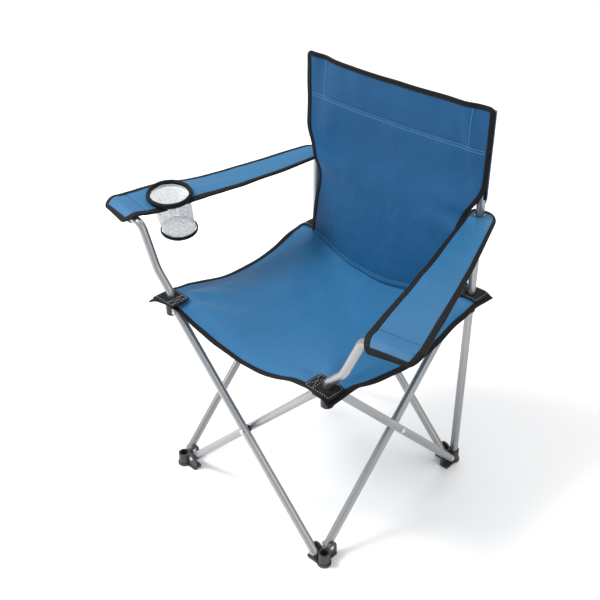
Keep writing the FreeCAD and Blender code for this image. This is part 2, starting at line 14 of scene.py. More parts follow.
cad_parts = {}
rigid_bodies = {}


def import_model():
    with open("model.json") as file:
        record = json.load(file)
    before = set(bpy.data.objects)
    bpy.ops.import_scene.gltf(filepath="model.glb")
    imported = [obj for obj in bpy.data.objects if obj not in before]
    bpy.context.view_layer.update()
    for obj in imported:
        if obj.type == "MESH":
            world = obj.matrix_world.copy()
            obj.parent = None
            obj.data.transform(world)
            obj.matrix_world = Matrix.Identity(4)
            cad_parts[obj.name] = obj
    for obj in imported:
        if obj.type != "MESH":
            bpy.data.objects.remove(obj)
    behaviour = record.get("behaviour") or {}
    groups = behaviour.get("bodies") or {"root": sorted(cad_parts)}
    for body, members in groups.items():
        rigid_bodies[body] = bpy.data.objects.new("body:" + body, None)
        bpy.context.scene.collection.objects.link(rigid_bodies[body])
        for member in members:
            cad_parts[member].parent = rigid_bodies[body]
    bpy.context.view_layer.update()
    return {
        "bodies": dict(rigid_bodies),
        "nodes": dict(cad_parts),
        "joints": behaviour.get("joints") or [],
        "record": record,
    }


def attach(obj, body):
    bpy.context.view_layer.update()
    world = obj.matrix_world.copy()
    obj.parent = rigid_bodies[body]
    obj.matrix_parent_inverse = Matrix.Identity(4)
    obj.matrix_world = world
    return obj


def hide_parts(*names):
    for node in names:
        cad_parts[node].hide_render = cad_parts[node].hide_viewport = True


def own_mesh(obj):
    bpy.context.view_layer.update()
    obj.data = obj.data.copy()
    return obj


LOG = logging.getLogger("camp_chair")
MM = 0.001
UP = Vector((0.0, 0.0, 1.0))

Pair = tuple[float, float]
Table = tuple[Pair, ...]


# ------------------------------------------------------------------ node helpers

class Tree:
    """A short way to add and link nodes in one material or group."""

    def __init__(self, tree: bpy.types.NodeTree) -> None:
        """Wraps the tree.

        Args:
            tree: The node tree that gets the nodes.
        """
        self.tree = tree

    def add(self, kind: str, values: Optional[dict] = None, **settings: object) -> bpy.types.Node:
        """Adds one node.

        Args:
            kind: The node's type name.
            values: Socket name or index to a value, or to a socket to link.
            **settings: Node properties to set first.

        Returns:
            The new node.
        """
        node = self.tree.nodes.new(kind)
        for name, value in settings.items():
            setattr(node, name, value)
        for key, value in (values or {}).items():
            if isinstance(value, bpy.types.NodeSocket):
                self.tree.links.new(value, node.inputs[key])
            else:
                node.inputs[key].default_value = value
        return node

    def math(self, operation: str, *values: object) -> bpy.types.NodeSocket:
        """Adds a Math node.

        Args:
            operation: The Math node's operation.
            *values: Its inputs, as numbers or sockets.

        Returns:
            The node's output.
        """
        node = self.add("ShaderNodeMath", dict(enumerate(values)), operation=operation)
        return node.outputs[0]

    def mix(self, share: object, first: object, second: object) -> bpy.types.NodeSocket:
        """Mixes two colours.

        Args:
            share: How much of the second, as a number or a socket.
            first: The colour at 0.
            second: The colour at 1.

        Returns:
            The mixed colour.
        """
        node = self.add("ShaderNodeMix", {0: share, 6: first, 7: second}, data_type="RGBA")
        return node.outputs[2]

    def span(self, value: bpy.types.NodeSocket, low: Pair, high: Pair) -> bpy.types.NodeSocket:
        """Maps a value from one range to another, held at the ends.

        Args:
            value: The value to map.
            low: The input and output at the lower end.
            high: The input and output at the upper end.

        Returns:
            The mapped value.
        """
        names = {0: value, 1: low[0], 2: high[0], 3: low[1], 4: high[1]}
        return self.add("ShaderNodeMapRange", names, clamp=True).outputs[0]


def new_group(
    name: str, inputs: Sequence[tuple[str, str, float]], outputs: Sequence[tuple[str, str]]
) -> tuple:
    """Starts a shader node group.

    Args:
        name: The group's name.
        inputs: Name, socket type and default of each input.
        outputs: Name and socket type of each output.

    Returns:
        The group, its Tree, its input node and its output node.
    """
    group = bpy.data.node_groups.new(name, "ShaderNodeTree")
    for label, kind, value in inputs:
        socket = group.interface.new_socket(name=label, in_out="INPUT", socket_type=kind)
        if kind == "NodeSocketFloat":
            socket.default_value = value
    for label, kind in outputs:
        group.interface.new_socket(name=label, in_out="OUTPUT", socket_type=kind)
    tree = Tree(group)
    return group, tree, tree.add("NodeGroupInput"), tree.add("NodeGroupOutput")


class Effects:
    """The node groups that several finishes share, each built once."""

    def __init__(self) -> None:
        """Builds every group."""
        self.weave = self._weave()
        self.crinkle = self._crinkle()
        self.scuff = self._scuff()
        self.dust = self._dust()

    @staticmethod
    def _weave() -> bpy.types.NodeTree:
        """A plain weave on UV metres, with a height and a thread shade."""
        group, t, start, end = new_group(
            "plain_weave",
            [
                ("Vector", "NodeSocketVector", 0), ("Threads", "NodeSocketFloat", 1600),
                ("Unevenness", "NodeSocketFloat", 0.3)
            ],
            [("Height", "NodeSocketFloat"), ("Shade", "NodeSocketFloat")],
        )
        axes = t.add("ShaderNodeSeparateXYZ", {0: start.outputs["Vector"]})
        turns = t.math("MULTIPLY", start.outputs["Threads"], math.pi)
        warp = t.math("SINE", t.math("MULTIPLY", axes.outputs[0], turns))
        weft = t.math("SINE", t.math("MULTIPLY", axes.outputs[1], turns))
        over = t.math("MULTIPLY_ADD", t.math("MULTIPLY", warp, weft), 0.5, 0.5)
        slub = t.add(
            "ShaderNodeTexNoise", {"Vector": start.outputs["Vector"], "Scale": 420.0, "Detail": 2.0}
        )
        uneven = t.math("MULTIPLY", t.math("SUBTRACT", slub.outputs[0], 0.5), start.outputs["Unevenness"])
        height = t.math("ADD", over, uneven)
        t.tree.links.new(height, end.inputs["Height"])
        t.tree.links.new(t.math("MULTIPLY_ADD", height, 0.5, 0.25), end.inputs["Shade"])
        return group

    @staticmethod
    def _crinkle() -> bpy.types.NodeTree:
        """Soft creases of coated cloth that has been packed away: a bump height, and a mask along them for a
        painted highlight.
        """
        group, t, start, end = new_group(
            "packed_creases",
            [
                ("Vector", "NodeSocketVector", 0), ("Scale", "NodeSocketFloat", 14),
                ("Sharpness", "NodeSocketFloat", 0.5)
            ],
            [("Height", "NodeSocketFloat"), ("Mask", "NodeSocketFloat")],
        )
        warp = t.add("ShaderNodeTexNoise", {"Vector": start.outputs["Vector"], "Scale": 6.0, "Detail": 2.0})
        shifted = t.add(
            "ShaderNodeVectorMath", {0: warp.outputs[1], 1: (0.05, 0.05, 0.05)}, operation="MULTIPLY"
        )
        moved = t.add(
            "ShaderNodeVectorMath", {0: start.outputs["Vector"], 1: shifted.outputs[0]}, operation="ADD"
        )
        cells = t.add(
            "ShaderNodeTexVoronoi",
            {"Vector": moved.outputs[0], "Scale": start.outputs["Scale"]},
            feature="DISTANCE_TO_EDGE",
        )
        crease = t.span(cells.outputs["Distance"], (0.0, 1.0), (0.35, 0.0))
        soft = t.add("ShaderNodeTexNoise", {"Vector": moved.outputs[0], "Scale": 22.0, "Detail": 3.0})
        sharp = t.math("MULTIPLY", crease, start.outputs["Sharpness"])
        t.tree.links.new(t.math("ADD", sharp, soft.outputs[0]), end.inputs["Height"])
        # The Mask marks where a painted highlight goes along the creases.
        t.tree.links.new(t.math("MULTIPLY", crease, soft.outputs[0]), end.inputs["Mask"])
        return group

    @staticmethod
    def _scuff() -> bpy.types.NodeTree:
        """Fine scratches and rubbed spots for paint, plastic and steel."""
        group, t, start, end = new_group(
            "rubbed_scuffs",
            [
                ("Vector", "NodeSocketVector", 0), ("Amount", "NodeSocketFloat", 0.3),
                ("Grain", "NodeSocketFloat", 900)
            ],
            [("Mask", "NodeSocketFloat"), ("Height", "NodeSocketFloat")],
        )
        blotch = t.add(
            "ShaderNodeTexNoise", {"Vector": start.outputs["Vector"], "Scale": 55.0, "Detail": 4.0}
        )
        fine = t.add(
            "ShaderNodeTexNoise", {"Vector": start.outputs["Vector"], "Scale": 380.0, "Detail": 2.0}
        )
        both = t.math("MULTIPLY", blotch.outputs[0], fine.outputs[0])
        edge = t.math("SUBTRACT", 0.42, t.math("MULTIPLY", start.outputs["Amount"], 0.25))
        mask = t.math(
            "SMOOTH_MIN",
            t.math("MAXIMUM", t.math("MULTIPLY", t.math("SUBTRACT", both, edge), 9.0), 0.0), 1.0, 0.1
        )
        peel = t.add(
            "ShaderNodeTexNoise", {"Vector": start.outputs["Vector"], "Scale": start.outputs["Grain"]}
        )
        t.tree.links.new(mask, end.inputs["Mask"])
        t.tree.links.new(peel.outputs[0], end.inputs["Height"])
        return group

    @staticmethod
    def _dust() -> bpy.types.NodeTree:
        """Pale dust that gathers low down."""
        group, t, start, end = new_group(
            "settled_dust",
            [
                ("Vector", "NodeSocketVector", 0), ("Reach", "NodeSocketFloat", 0.05),
                ("Amount", "NodeSocketFloat", 0.3)
            ],
            [("Mask", "NodeSocketFloat")],
        )
        axes = t.add("ShaderNodeSeparateXYZ", {0: start.outputs["Vector"]})
        low = t.math("SUBTRACT", 1.0, t.math("DIVIDE", axes.outputs[2], start.outputs["Reach"]))
        low = t.math("MAXIMUM", low, 0.0)
        patchy = t.add(
            "ShaderNodeTexNoise", {"Vector": start.outputs["Vector"], "Scale": 90.0, "Detail": 5.0}
        )
        mask = t.math("MULTIPLY", t.math("MULTIPLY", low, patchy.outputs[0]), start.outputs["Amount"])
        t.tree.links.new(mask, end.inputs["Mask"])
        return group


# ------------------------------------------------------------------ finishes

@dataclass(frozen=True)
class Finish:
    """What every finish has in common."""

    name: str
    colour: tuple[float, float, float]
    roughness: float = 0.5

    def begin(self) -> tuple[bpy.types.Material, Tree, bpy.types.Node]:
        """Starts a material with an empty Principled shader.

        Returns:
            The material, its Tree and its Principled node.
        """
        material = bpy.data.materials.new(self.name)
        material.use_nodes = True
        tree = Tree(material.node_tree)
        shader = material.node_tree.nodes["Principled BSDF"]
        shader.inputs["Roughness"].default_value = self.roughness
        material.diffuse_color = (*self.colour, 1.0)
        return material, tree, shader

    def shades(self, darker: float, lighter: float) -> tuple[tuple, tuple]:
        """The finish's colour scaled down and up.

        Args:
            darker: Factor for the darker shade.
            lighter: Factor for the lighter shade.

        Returns:
            The two colours with alpha.
        """
        low = tuple(min(1.0, c * darker) for c in self.colour)
        high = tuple(min(1.0, c * lighter) for c in self.colour)
        return (*low, 1.0), (*high, 1.0)


@dataclass(frozen=True)
class PowderCoat(Finish):
    """Silver-grey powder coat on steel tube."""

    metal: float = 0.55

    def build(self, effects: Effects) -> bpy.types.Material:
        """Builds the material.

        Args:
            effects: The shared node groups.

        Returns:
            The material.
        """
        material, t, shader = self.begin()
        place = t.add("ShaderNodeTexCoord").outputs["Object"]
        scuff = t.add("ShaderNodeGroup", node_tree=effects.scuff)
        t.tree.links.new(place, scuff.inputs["Vector"])
        scuff.inputs["Grain"].default_value = 1500.0
        cloud = t.add("ShaderNodeTexNoise", {"Vector": place, "Scale": 9.0, "Detail": 3.0})
        dark, light = self.shades(0.86, 1.08)
        paint = t.mix(cloud.outputs[0], dark, light)
        scuffs_and_crease_highlight = t.mix(t.math("MULTIPLY", scuff.outputs["Mask"], 0.35), paint, (0.30, 0.31, 0.32, 1.0))
        t.tree.links.new(scuffs_and_crease_highlight, shader.inputs["Base Color"])
        shader.inputs["Metallic"].default_value = self.metal
        rough = t.math("MULTIPLY_ADD", cloud.outputs[0], 0.10, self.roughness - 0.05)
        t.tree.links.new(rough, shader.inputs["Roughness"])
        bump = t.add(
            "ShaderNodeBump", {"Strength": 0.10, "Distance": 0.00012, "Height": scuff.outputs["Height"]}
        )
        t.tree.links.new(bump.outputs[0], shader.inputs["Normal"])
        return material


@dataclass(frozen=True)
class MouldedPlastic(Finish):
    """Black moulded plastic with a fine grain, rubbed and a little dusty."""

    dusty: float = 0.3

    def build(self, effects: Effects) -> bpy.types.Material:
        """Builds the material.

        Args:
            effects: The shared node groups.

        Returns:
            The material.
        """
        material, t, shader = self.begin()
        place = t.add("ShaderNodeTexCoord").outputs["Object"]
        scuff = t.add(
            "ShaderNodeGroup", {"Vector": place, "Grain": 2600.0, "Amount": 0.5}, node_tree=effects.scuff
        )
        dust = t.add("ShaderNodeGroup", {"Vector": place, "Amount": self.dusty}, node_tree=effects.dust)
        dark, light = self.shades(0.8, 1.9)
        body = t.mix(scuff.outputs["Mask"], dark, light)
        body = t.mix(dust.outputs["Mask"], body, (0.30, 0.29, 0.27, 1.0))
        t.tree.links.new(body, shader.inputs["Base Color"])
        rough = t.math("MULTIPLY_ADD", scuff.outputs["Mask"], 0.18, self.roughness)
        t.tree.links.new(rough, shader.inputs["Roughness"])
        bump = t.add(
            "ShaderNodeBump", {"Strength": 0.25, "Distance": 0.0002, "Height": scuff.outputs["Height"]}
        )
        t.tree.links.new(bump.outputs[0], shader.inputs["Normal"])
        return material


@dataclass(frozen=True)
class PlainSteel(Finish):
    """Zinc-plated steel of the pins and rivets."""

    def build(self, effects: Effects) -> bpy.types.Material:
        """Builds the material.

        Args:
            effects: The shared node groups.

        Returns:
            The material.
        """
        material, t, shader = self.begin()
        place = t.add("ShaderNodeTexCoord").outputs["Object"]
        scuff = t.add(
            "ShaderNodeGroup", {"Vector": place, "Grain": 3200.0, "Amount": 0.6}, node_tree=effects.scuff
        )
        dark, light = self.shades(0.6, 1.05)
        t.tree.links.new(t.mix(scuff.outputs["Mask"], light, dark), shader.inputs["Base Color"])
        shader.inputs["Metallic"].default_value = 0.9
        rough = t.math("MULTIPLY_ADD", scuff.outputs["Mask"], 0.25, self.roughness)
        t.tree.links.new(rough, shader.inputs["Roughness"])
        bump = t.add(
            "ShaderNodeBump", {"Strength": 0.15, "Distance": 0.0001, "Height": scuff.outputs["Height"]}
        )
        t.tree.links.new(bump.outputs[0], shader.inputs["Normal"])
        return material


@dataclass(frozen=True)
class CoatedCloth(Finish):
    """Coated polyester in a plain weave, on UV metres."""

    threads: float = 1500.0
    sheen: float = 0.05
    crease: float = 0.12

    def build(self, effects: Effects) -> bpy.types.Material:
        """Builds the material.

        Args:
            effects: The shared node groups.

        Returns:
            The material.
        """
        material, t, shader = self.begin()
        place = t.add("ShaderNodeUVMap").outputs[0]
        weave = t.add("ShaderNodeGroup", {"Vector": place, "Threads": self.threads}, node_tree=effects.weave)
        crinkle = t.add(
            "ShaderNodeGroup", {"Vector": place, "Sharpness": self.crease}, node_tree=effects.crinkle
        )
        wash = t.add("ShaderNodeTexNoise", {"Vector": place, "Scale": 5.0, "Detail": 4.0, "Roughness": 0.6})
        dark, light = self.shades(0.88, 1.12)
        dyed = t.mix(wash.outputs[0], dark, light)
        deep, pale = self.shades(0.72, 1.30)
        thread = t.mix(weave.outputs["Shade"], deep, pale)
        body = t.mix(0.35, dyed, thread)
        # Painted highlight: a pale tint along the creases.
        scuffs_and_crease_highlight = t.mix(t.math("MULTIPLY", crinkle.outputs["Mask"], 0.10), body, pale)
        t.tree.links.new(scuffs_and_crease_highlight, shader.inputs["Base Color"])
        rough = t.math("MULTIPLY_ADD", wash.outputs[0], 0.12, self.roughness - 0.06)
        t.tree.links.new(rough, shader.inputs["Roughness"])
        shader.inputs["Sheen Weight"].default_value = self.sheen
        shader.inputs["Sheen Roughness"].default_value = 0.45
        shader.inputs["Specular IOR Level"].default_value = 0.25
        folds = t.add(
            "ShaderNodeBump", {"Strength": 0.5, "Distance": 0.005, "Height": crinkle.outputs["Height"]}
        )
        cloth = t.add(
            "ShaderNodeBump",
            {
                "Strength": 0.30, "Distance": 0.00025, "Height": weave.outputs["Height"],
                "Normal": folds.outputs[0]
            },
        )
        t.tree.links.new(cloth.outputs[0], shader.inputs["Normal"])
        return material


@dataclass(frozen=True)
class Tape(Finish):
    """Ribbed black binding tape or webbing, on UV metres."""

    ribs: float = 700.0

    def build(self, effects: Effects) -> bpy.types.Material:
        """Builds the material.

        Args:
            effects: The shared node groups.

        Returns:
            The material.
        """
        material, t, shader = self.begin()
        place = t.add("ShaderNodeUVMap").outputs[0]
        weave = t.add(
            "ShaderNodeGroup", {"Vector": place, "Threads": self.ribs, "Unevenness": 0.6},
            node_tree=effects.weave
        )
        fluff = t.add("ShaderNodeTexNoise", {"Vector": place, "Scale": 60.0, "Detail": 5.0})
        dark, light = self.shades(0.6, 1.7)
        thread = t.mix(weave.outputs["Shade"], dark, light)
        worn = t.mix(t.span(fluff.outputs[0], (0.5, 0.0), (0.8, 0.25)), thread, self.shades(1.0, 3.0)[1])
        t.tree.links.new(worn, shader.inputs["Base Color"])
        rough = t.math("MULTIPLY_ADD", fluff.outputs[0], 0.15, self.roughness - 0.07)
        t.tree.links.new(rough, shader.inputs["Roughness"])
        shader.inputs["Sheen Weight"].default_value = 0.02
        shader.inputs["Specular IOR Level"].default_value = 0.15
        bump = t.add(
            "ShaderNodeBump", {"Strength": 0.5, "Distance": 0.0005, "Height": weave.outputs["Height"]}
        )
        t.tree.links.new(bump.outputs[0], shader.inputs["Normal"])
        return material


@dataclass(frozen=True)
class KnitMesh(Finish):
    """Open knitted mesh: staggered holes in a pale yarn, on UV metres."""

    pitch: float = 0.0036
    hole: float = 0.30

    def build(self, effects: Effects) -> bpy.types.Material:
        """Builds the material.

        Args:
            effects: The shared node groups.

        Returns:
            The material.
        """
        material, t, shader = self.begin()
        place = t.add("ShaderNodeUVMap").outputs[0]
        axes = t.add("ShaderNodeSeparateXYZ", {0: place})
        across = t.math("DIVIDE", axes.outputs[0], self.pitch)
        row = t.math("DIVIDE", axes.outputs[1], self.pitch * 0.86)
        odd = t.math("FLOORED_MODULO", t.math("FLOOR", row), 2.0)
        x = t.math("SUBTRACT", t.math("FRACT", t.math("MULTIPLY_ADD", odd, 0.5, across)), 0.5)
        y = t.math("SUBTRACT", t.math("FRACT", row), 0.5)
        distance = t.math("SQRT", t.math("ADD", t.math("MULTIPLY", x, x), t.math("MULTIPLY", y, y)))
        yarn = t.span(distance, (self.hole - 0.04, 0.0), (self.hole + 0.04, 1.0))
        fluff = t.add("ShaderNodeTexNoise", {"Vector": place, "Scale": 500.0, "Detail": 2.0})
        dark, light = self.shades(0.75, 1.05)
        spots = t.add("ShaderNodeTexNoise", {"Vector": place, "Scale": 340.0, "Detail": 1.0})
        speck = t.span(spots.outputs[0], (0.56, 0.0), (0.66, 0.75))
        yarn_shade = t.mix(speck, t.mix(fluff.outputs[0], dark, light), self.shades(0.16, 1.0)[0])
        t.tree.links.new(yarn_shade, shader.inputs["Base Color"])
        t.tree.links.new(yarn, shader.inputs["Alpha"])
        rounded = t.span(distance, (self.hole, 0.0), (0.55, 1.0))
        bump = t.add("ShaderNodeBump", {"Strength": 0.6, "Distance": 0.0008, "Height": rounded})
        t.tree.links.new(bump.outputs[0], shader.inputs["Normal"])
        return material


@dataclass(frozen=True)
class Thread(Finish):
    """Sewing thread."""

    def build(self, effects: Effects) -> bpy.types.Material:
        """Builds the material.

        Args:
            effects: The shared node groups.

        Returns:
            The material.
        """
        material, t, shader = self.begin()
        place = t.add("ShaderNodeTexCoord").outputs["Object"]
        twist = t.add("ShaderNodeTexNoise", {"Vector": place, "Scale": 1800.0, "Detail": 1.0})
        dark, light = self.shades(0.7, 1.2)
        t.tree.links.new(t.mix(twist.outputs[0], dark, light), shader.inputs["Base Color"])
        bump = t.add("ShaderNodeBump", {"Strength": 0.4, "Distance": 0.0002, "Height": twist.outputs[0]})
        t.tree.links.new(bump.outputs[0], shader.inputs["Normal"])
        return material


@dataclass(frozen=True)
class StudioFloor(Finish):
    """The plain pale floor."""

    def build(self, effects: Effects) -> bpy.types.Material:
        """Builds the material.

        Args:
            effects: The shared node groups.

        Returns:
            The material.
        """
        material, _, shader = self.begin()
        shader.inputs["Base Color"].default_value = (*self.colour, 1.0)
        return material


class Look(Enum):
    """Every finish on the chair."""

    TUBE = PowderCoat("silver_powder_coat", (0.34, 0.345, 0.35), 0.30, 0.85)
    PLASTIC = MouldedPlastic("black_moulded_plastic", (0.006, 0.006, 0.007), 0.46)
    STEEL = PlainSteel("zinc_steel", (0.55, 0.55, 0.55), 0.35)
    SEAT = CoatedCloth("seat_cloth", (0.014, 0.105, 0.232), 0.50)
    # Painted shade: the back is the seat's blue cloth made darker, for the shade on its upright face.
    BACK_PAINTED_SHADE = CoatedCloth("back_cloth", (0.0005, 0.058, 0.155), 0.55)
    ARMREST = CoatedCloth("armrest_cloth", (0.014, 0.100, 0.215), 0.50)
    BINDING = Tape("black_binding", (0.0018, 0.0018, 0.0024), 0.62)
    WEBBING = Tape("black_webbing", (0.005, 0.005, 0.006), 0.70, 450.0)
    MESH = KnitMesh("pale_knit_mesh", (0.78, 0.80, 0.82), 0.60)
    BLUE_THREAD = Thread("blue_thread", (0.13, 0.36, 0.58), 0.6)
    PALE_THREAD = Thread("pale_thread", (0.30, 0.31, 0.33), 0.6)
    BLACK_THREAD = Thread("black_thread", (0.016, 0.016, 0.02), 0.6)
    FLOOR = StudioFloor("pale_floor", (0.92, 0.92, 0.92), 0.9)


class Wardrobe:
    """Builds each finish once and hands it out."""

    def __init__(self) -> None:
        """Builds the shared groups."""
        self.effects = Effects()
        self.made: dict[Look, bpy.types.Material] = {}

    def __call__(self, look: Look) -> bpy.types.Material:
        """The material of a look.

        Args:
            look: The finish wanted.

        Returns:
            Its material.
        """
        if look not in self.made:
            self.made[look] = look.value.build(self.effects)
        return self.made[look]


# ------------------------------------------------------------------ surfaces

def between(table: Table, t: float) -> float:
    """Smooth value at t.

    Args:
        table: Pairs of t and value, t rising.
        t: Where to read.

    Returns:
        The value there.
    """
    last = len(table) - 1
    slopes = []
    for i in range(last + 1):
        before, after = table[max(0, i - 1)], table[min(last, i + 1)]
        slopes.append((after[1] - before[1]) / (after[0] - before[0]))
    for i in range(last):
        (t0, v0), (t1, v1) = table[i], table[i + 1]
        if t <= t1 or i == last - 1:
            break
    span = t1 - t0
    f = min(1.0, max(0.0, (t - t0) / span))
    keep = 2 * f ** 3 - 3 * f ** 2 + 1
    rise = (f ** 3 - 2 * f ** 2 + f) * span * slopes[i]
    settle = (f ** 3 - f ** 2) * span * slopes[i + 1]
    return keep * v0 + rise + (1 - keep) * v1 + settle


def ripple(x: float, y: float, scale: float, seed: float) -> float:
    """Smooth noise from -1 to 1.

    Args:
        x: First coordinate in metres.
        y: Second coordinate in metres.
        scale: Ripples per metre.
        seed: Which field of noise.

    Returns:
        The noise there.
    """
    return noise.noise(Vector((x * scale, y * scale, seed)))


@dataclass
class ClothSurface:
    """A sheet of cloth as a map from u, v to a point in metres."""

    width: float = 0.4
    length: float = 0.4

    def point(self, u: float, v: float) -> Vector:
        """Middle of the cloth at u from -1 to 1 across and v from 0 to 1 along."""
        raise NotImplementedError

    def normal(self, u: float, v: float) -> Vector:
        """The way the cloth's good side faces at u, v."""
        h = 0.002
        across = self.point(u + h, v) - self.point(u - h, v)
        along = self.point(u, v + h) - self.point(u, v - h)
        return across.cross(along).normalized()


@dataclass
class SeatSurface(ClothSurface):
    """The slung seat, v from the front edge at 0 to the rear corners at 1."""

    width: float = 0.454
    length: float = 0.454
    post: float = 197.0
    tip: float = 227.0
    level: float = 405.3
    side_sag: float = 36.0
    front_sag: float = 49.0
    rear_sag: float = 24.0
    sag: float = 6.0
    rear_edge: Table = (
        (0, 156), (70, 160), (130, 173), (158, 184), (168, 196), (178, 220), (190, 227), (227, 227)
    )

    @staticmethod
    def crown(u: float) -> float:
        """1 in the middle and 0 where the hubs hold the cloth."""
        return max(0.0, 1 - (u / 0.85) ** 2) ** 2

    def plain(self, u: float, v: float) -> tuple[float, float, float]:
        """Millimetres of the cloth at u, v without its folds."""
        held = min(1.0, max(0.0, (v - 0.1) / 0.8))
        side = self.side_sag * math.sin(math.pi * held) ** 1.3
        ends = self.front_sag * (1 - v) ** 1.6 + self.rear_sag * v ** 1.6
        middle = self.sag * math.sin(math.pi * v)
        z = self.level - side * (0.45 + 0.55 * u * u) - (ends + middle) * self.crown(u)
        pull = 24 * (1 - u * u) * (1 - v) ** 3
        return self.tip * u, 2 * self.tip * v - self.tip + pull, z

    def point(self, u: float, v: float) -> Vector:
        """Middle of the cloth at u, v."""
        v = min(1.0, max(0.0, v))
        x, y, z = self.plain(u, v)
        x, y, drop = self.hem(u, v, x, y)
        return Vector((x, y, z - drop + self.folds(u, v, x, y))) * MM

    def hem(self, u: float, v: float, x: float, y: float) -> tuple[float, float, float]:
        """x and y pulled in and out along the edges, where the binding ripples, and how far it hangs."""
        side = max(0.0, (abs(u) - 0.86) / 0.14) * min(1.0, 7 * v, 7 * (1 - v))
        front = max(0.0, 1 - v / 0.07) * min(1.0, 6 * (1 - abs(u)))
        x += math.copysign(1, u) * side * 4.4 * ripple(0.7 * math.copysign(1, u), y * MM, 15, 21.0)
        y += front * 5.0 * ripple(x * MM, 0.4, 17, 33.0)
        drop = side * (1.5 + 1.6 * ripple(x * MM, y * MM, 22, 41.0))
        drop += front * (2.0 + 2.0 * ripple(x * MM, 0.1, 24, 52.0))
        corner = max(0.0, (abs(x) - 208) / 19) * max(0.0, (abs(y) - 150) / 77)
        return x, y, drop + 9.0 * min(1.0, corner) ** 1.2

    def folds(self, u: float, v: float, x: float, y: float) -> float:
        """Height in millimetres of the strain folds at the corners and the slack between them."""
        lift = 0.0
        for sx in (-1, 1):
            for sy in (-1, 1):
                dx, dy = sx * self.post - x, sy * self.post - y
                away = math.hypot(dx, dy)
                turn = math.atan2(abs(dy), abs(dx))
                reach = max(0.0, min(1.0, (away - 36) / 34)) * math.exp(-away / 95)
                wander = 1.4 * ripple(x * MM, y * MM, 11, 2.0 + sx)
                lift += 6.5 * reach * math.sin(8 * turn + wander + 1.7 * sx + 0.8 * sy)
        inner = min(1.0, 5 * max(0.0, 0.95 - abs(u))) * min(1.0, 12 * v)
        lift += inner * (3.6 * ripple(x * MM, y * MM, 7, 7.7) + 1.5 * ripple(x * MM, y * MM, 19, 17.7))
        return lift

    def rear_v(self, u: float) -> float:
        """v of the rear edge at u."""
        return (between(self.rear_edge, abs(u) * self.tip) + self.tip) / (2 * self.tip)


@dataclass
class BackSurface(ClothSurface):
    """The back, v from the seam with the seat to the top edge."""

    width: float = 0.42
    length: float = 0.40
    seat: SeatSurface = field(default_factory=SeatSurface)
    seam: tuple[float, float, float] = (186.0, 151.0, 174.0)
    top: float = 781.0
    rear_y: float = 186.1
    flare: Table = (
        (0, 0), (45, -6), (95, -12), (140, -13), (165, -9), (185, 0), (205, 12), (225, 22),
        (245, 27), (397, 28),
    )
    lean: Table = ((0, 0), (55, 9), (115, 19), (175, 25), (235, 34.0), (270, 36.0), (397, 36.0))

    def point(self, u: float, v: float) -> Vector:
        """Middle of the cloth at u, v."""
        v = min(1.0, max(-0.02, v))
        half, middle_y, end_y = self.seam
        arch = 1 - u * u
        seam_y = end_y - (end_y - middle_y) * arch
        tip = self.seat.tip
        _, _, seat_z = self.seat.plain(half * u / tip, (seam_y + tip) / (2 * tip))
        level = 397 * max(0.0, v)
        x = half * u + between(self.flare, level) * u
        dish = 9 * max(0.0, arch) ** 2 * math.sin(math.pi * min(1, 1.15 * max(0.0, v)))
        y = self.rear_y - 0.8 - 36 + between(self.lean, level) + dish
        y += (seam_y - self.rear_y + 36) * (1 - v) ** 6
        z = seat_z + 0.9 + (self.top - seat_z - 0.9) * v - 7 * max(0.0, arch) * max(0.0, v) ** 6
        edge = max(0.0, (abs(u) - 0.86) / 0.14)
        x += math.copysign(1, u) * edge * 2.6 * ripple(0.3 * u, z * MM, 17, 61.0)
        low = 1.6 * max(0.0, (v - 0.94) / 0.06) * ripple(x * MM, 0.9, 14, 62.0)
        corner_x, corner_z = max(0.0, abs(x) - 200), max(0.0, z - 767)
        reach = math.hypot(corner_x, corner_z)
        if corner_x and corner_z and reach > 0:
            square = max(corner_x, corner_z)
            x = math.copysign(200 + corner_x * square / reach, x)
            z = 767 + corner_z * square / reach
        return Vector((x, y - self.folds(u, v, x, z), z + low)) * MM

    def folds(self, u: float, v: float, x: float, z: float) -> float:
        """How far the cloth stands forward in mm: drag lines at the waist, slack and the top band."""
        waist = math.exp(-((v - 0.40) / 0.14) ** 2)
        side = abs(u) ** 2.5
        lift = 4.2 * waist * side * math.sin(z / 12.0 + 2.0 * u + 2.6 * ripple(x * MM, z * MM, 14, 71.0))
        free = max(0.0, 1 - abs(u) ** 4)
        lift += free * (3.4 * ripple(x * MM, z * MM, 6, 11.3) + 1.3 * ripple(x * MM, z * MM, 21, 12.3))
        drag = math.exp(-((abs(u) - 0.80) / 0.12) ** 2) * max(0.0, v - 0.42)
        lift += 7.0 * drag * math.sin(14 * abs(u) + 9 * v + 1.5 * u + 2.0 * ripple(x * MM, z * MM, 9, 14.1))
        lift -= 1.6 * free * math.exp(-((v - 0.775) / 0.012) ** 2)
        lift += 1.5 * free * max(0.0, v - 0.78) / 0.22 * ripple(x * MM, z * MM, 28, 15.3)
        bottom = math.exp(-(max(0.0, v) / 0.10) ** 2) * free
        lift += 1.8 * bottom * ripple(x * MM, 0.2, 24, 13.1)
        return lift


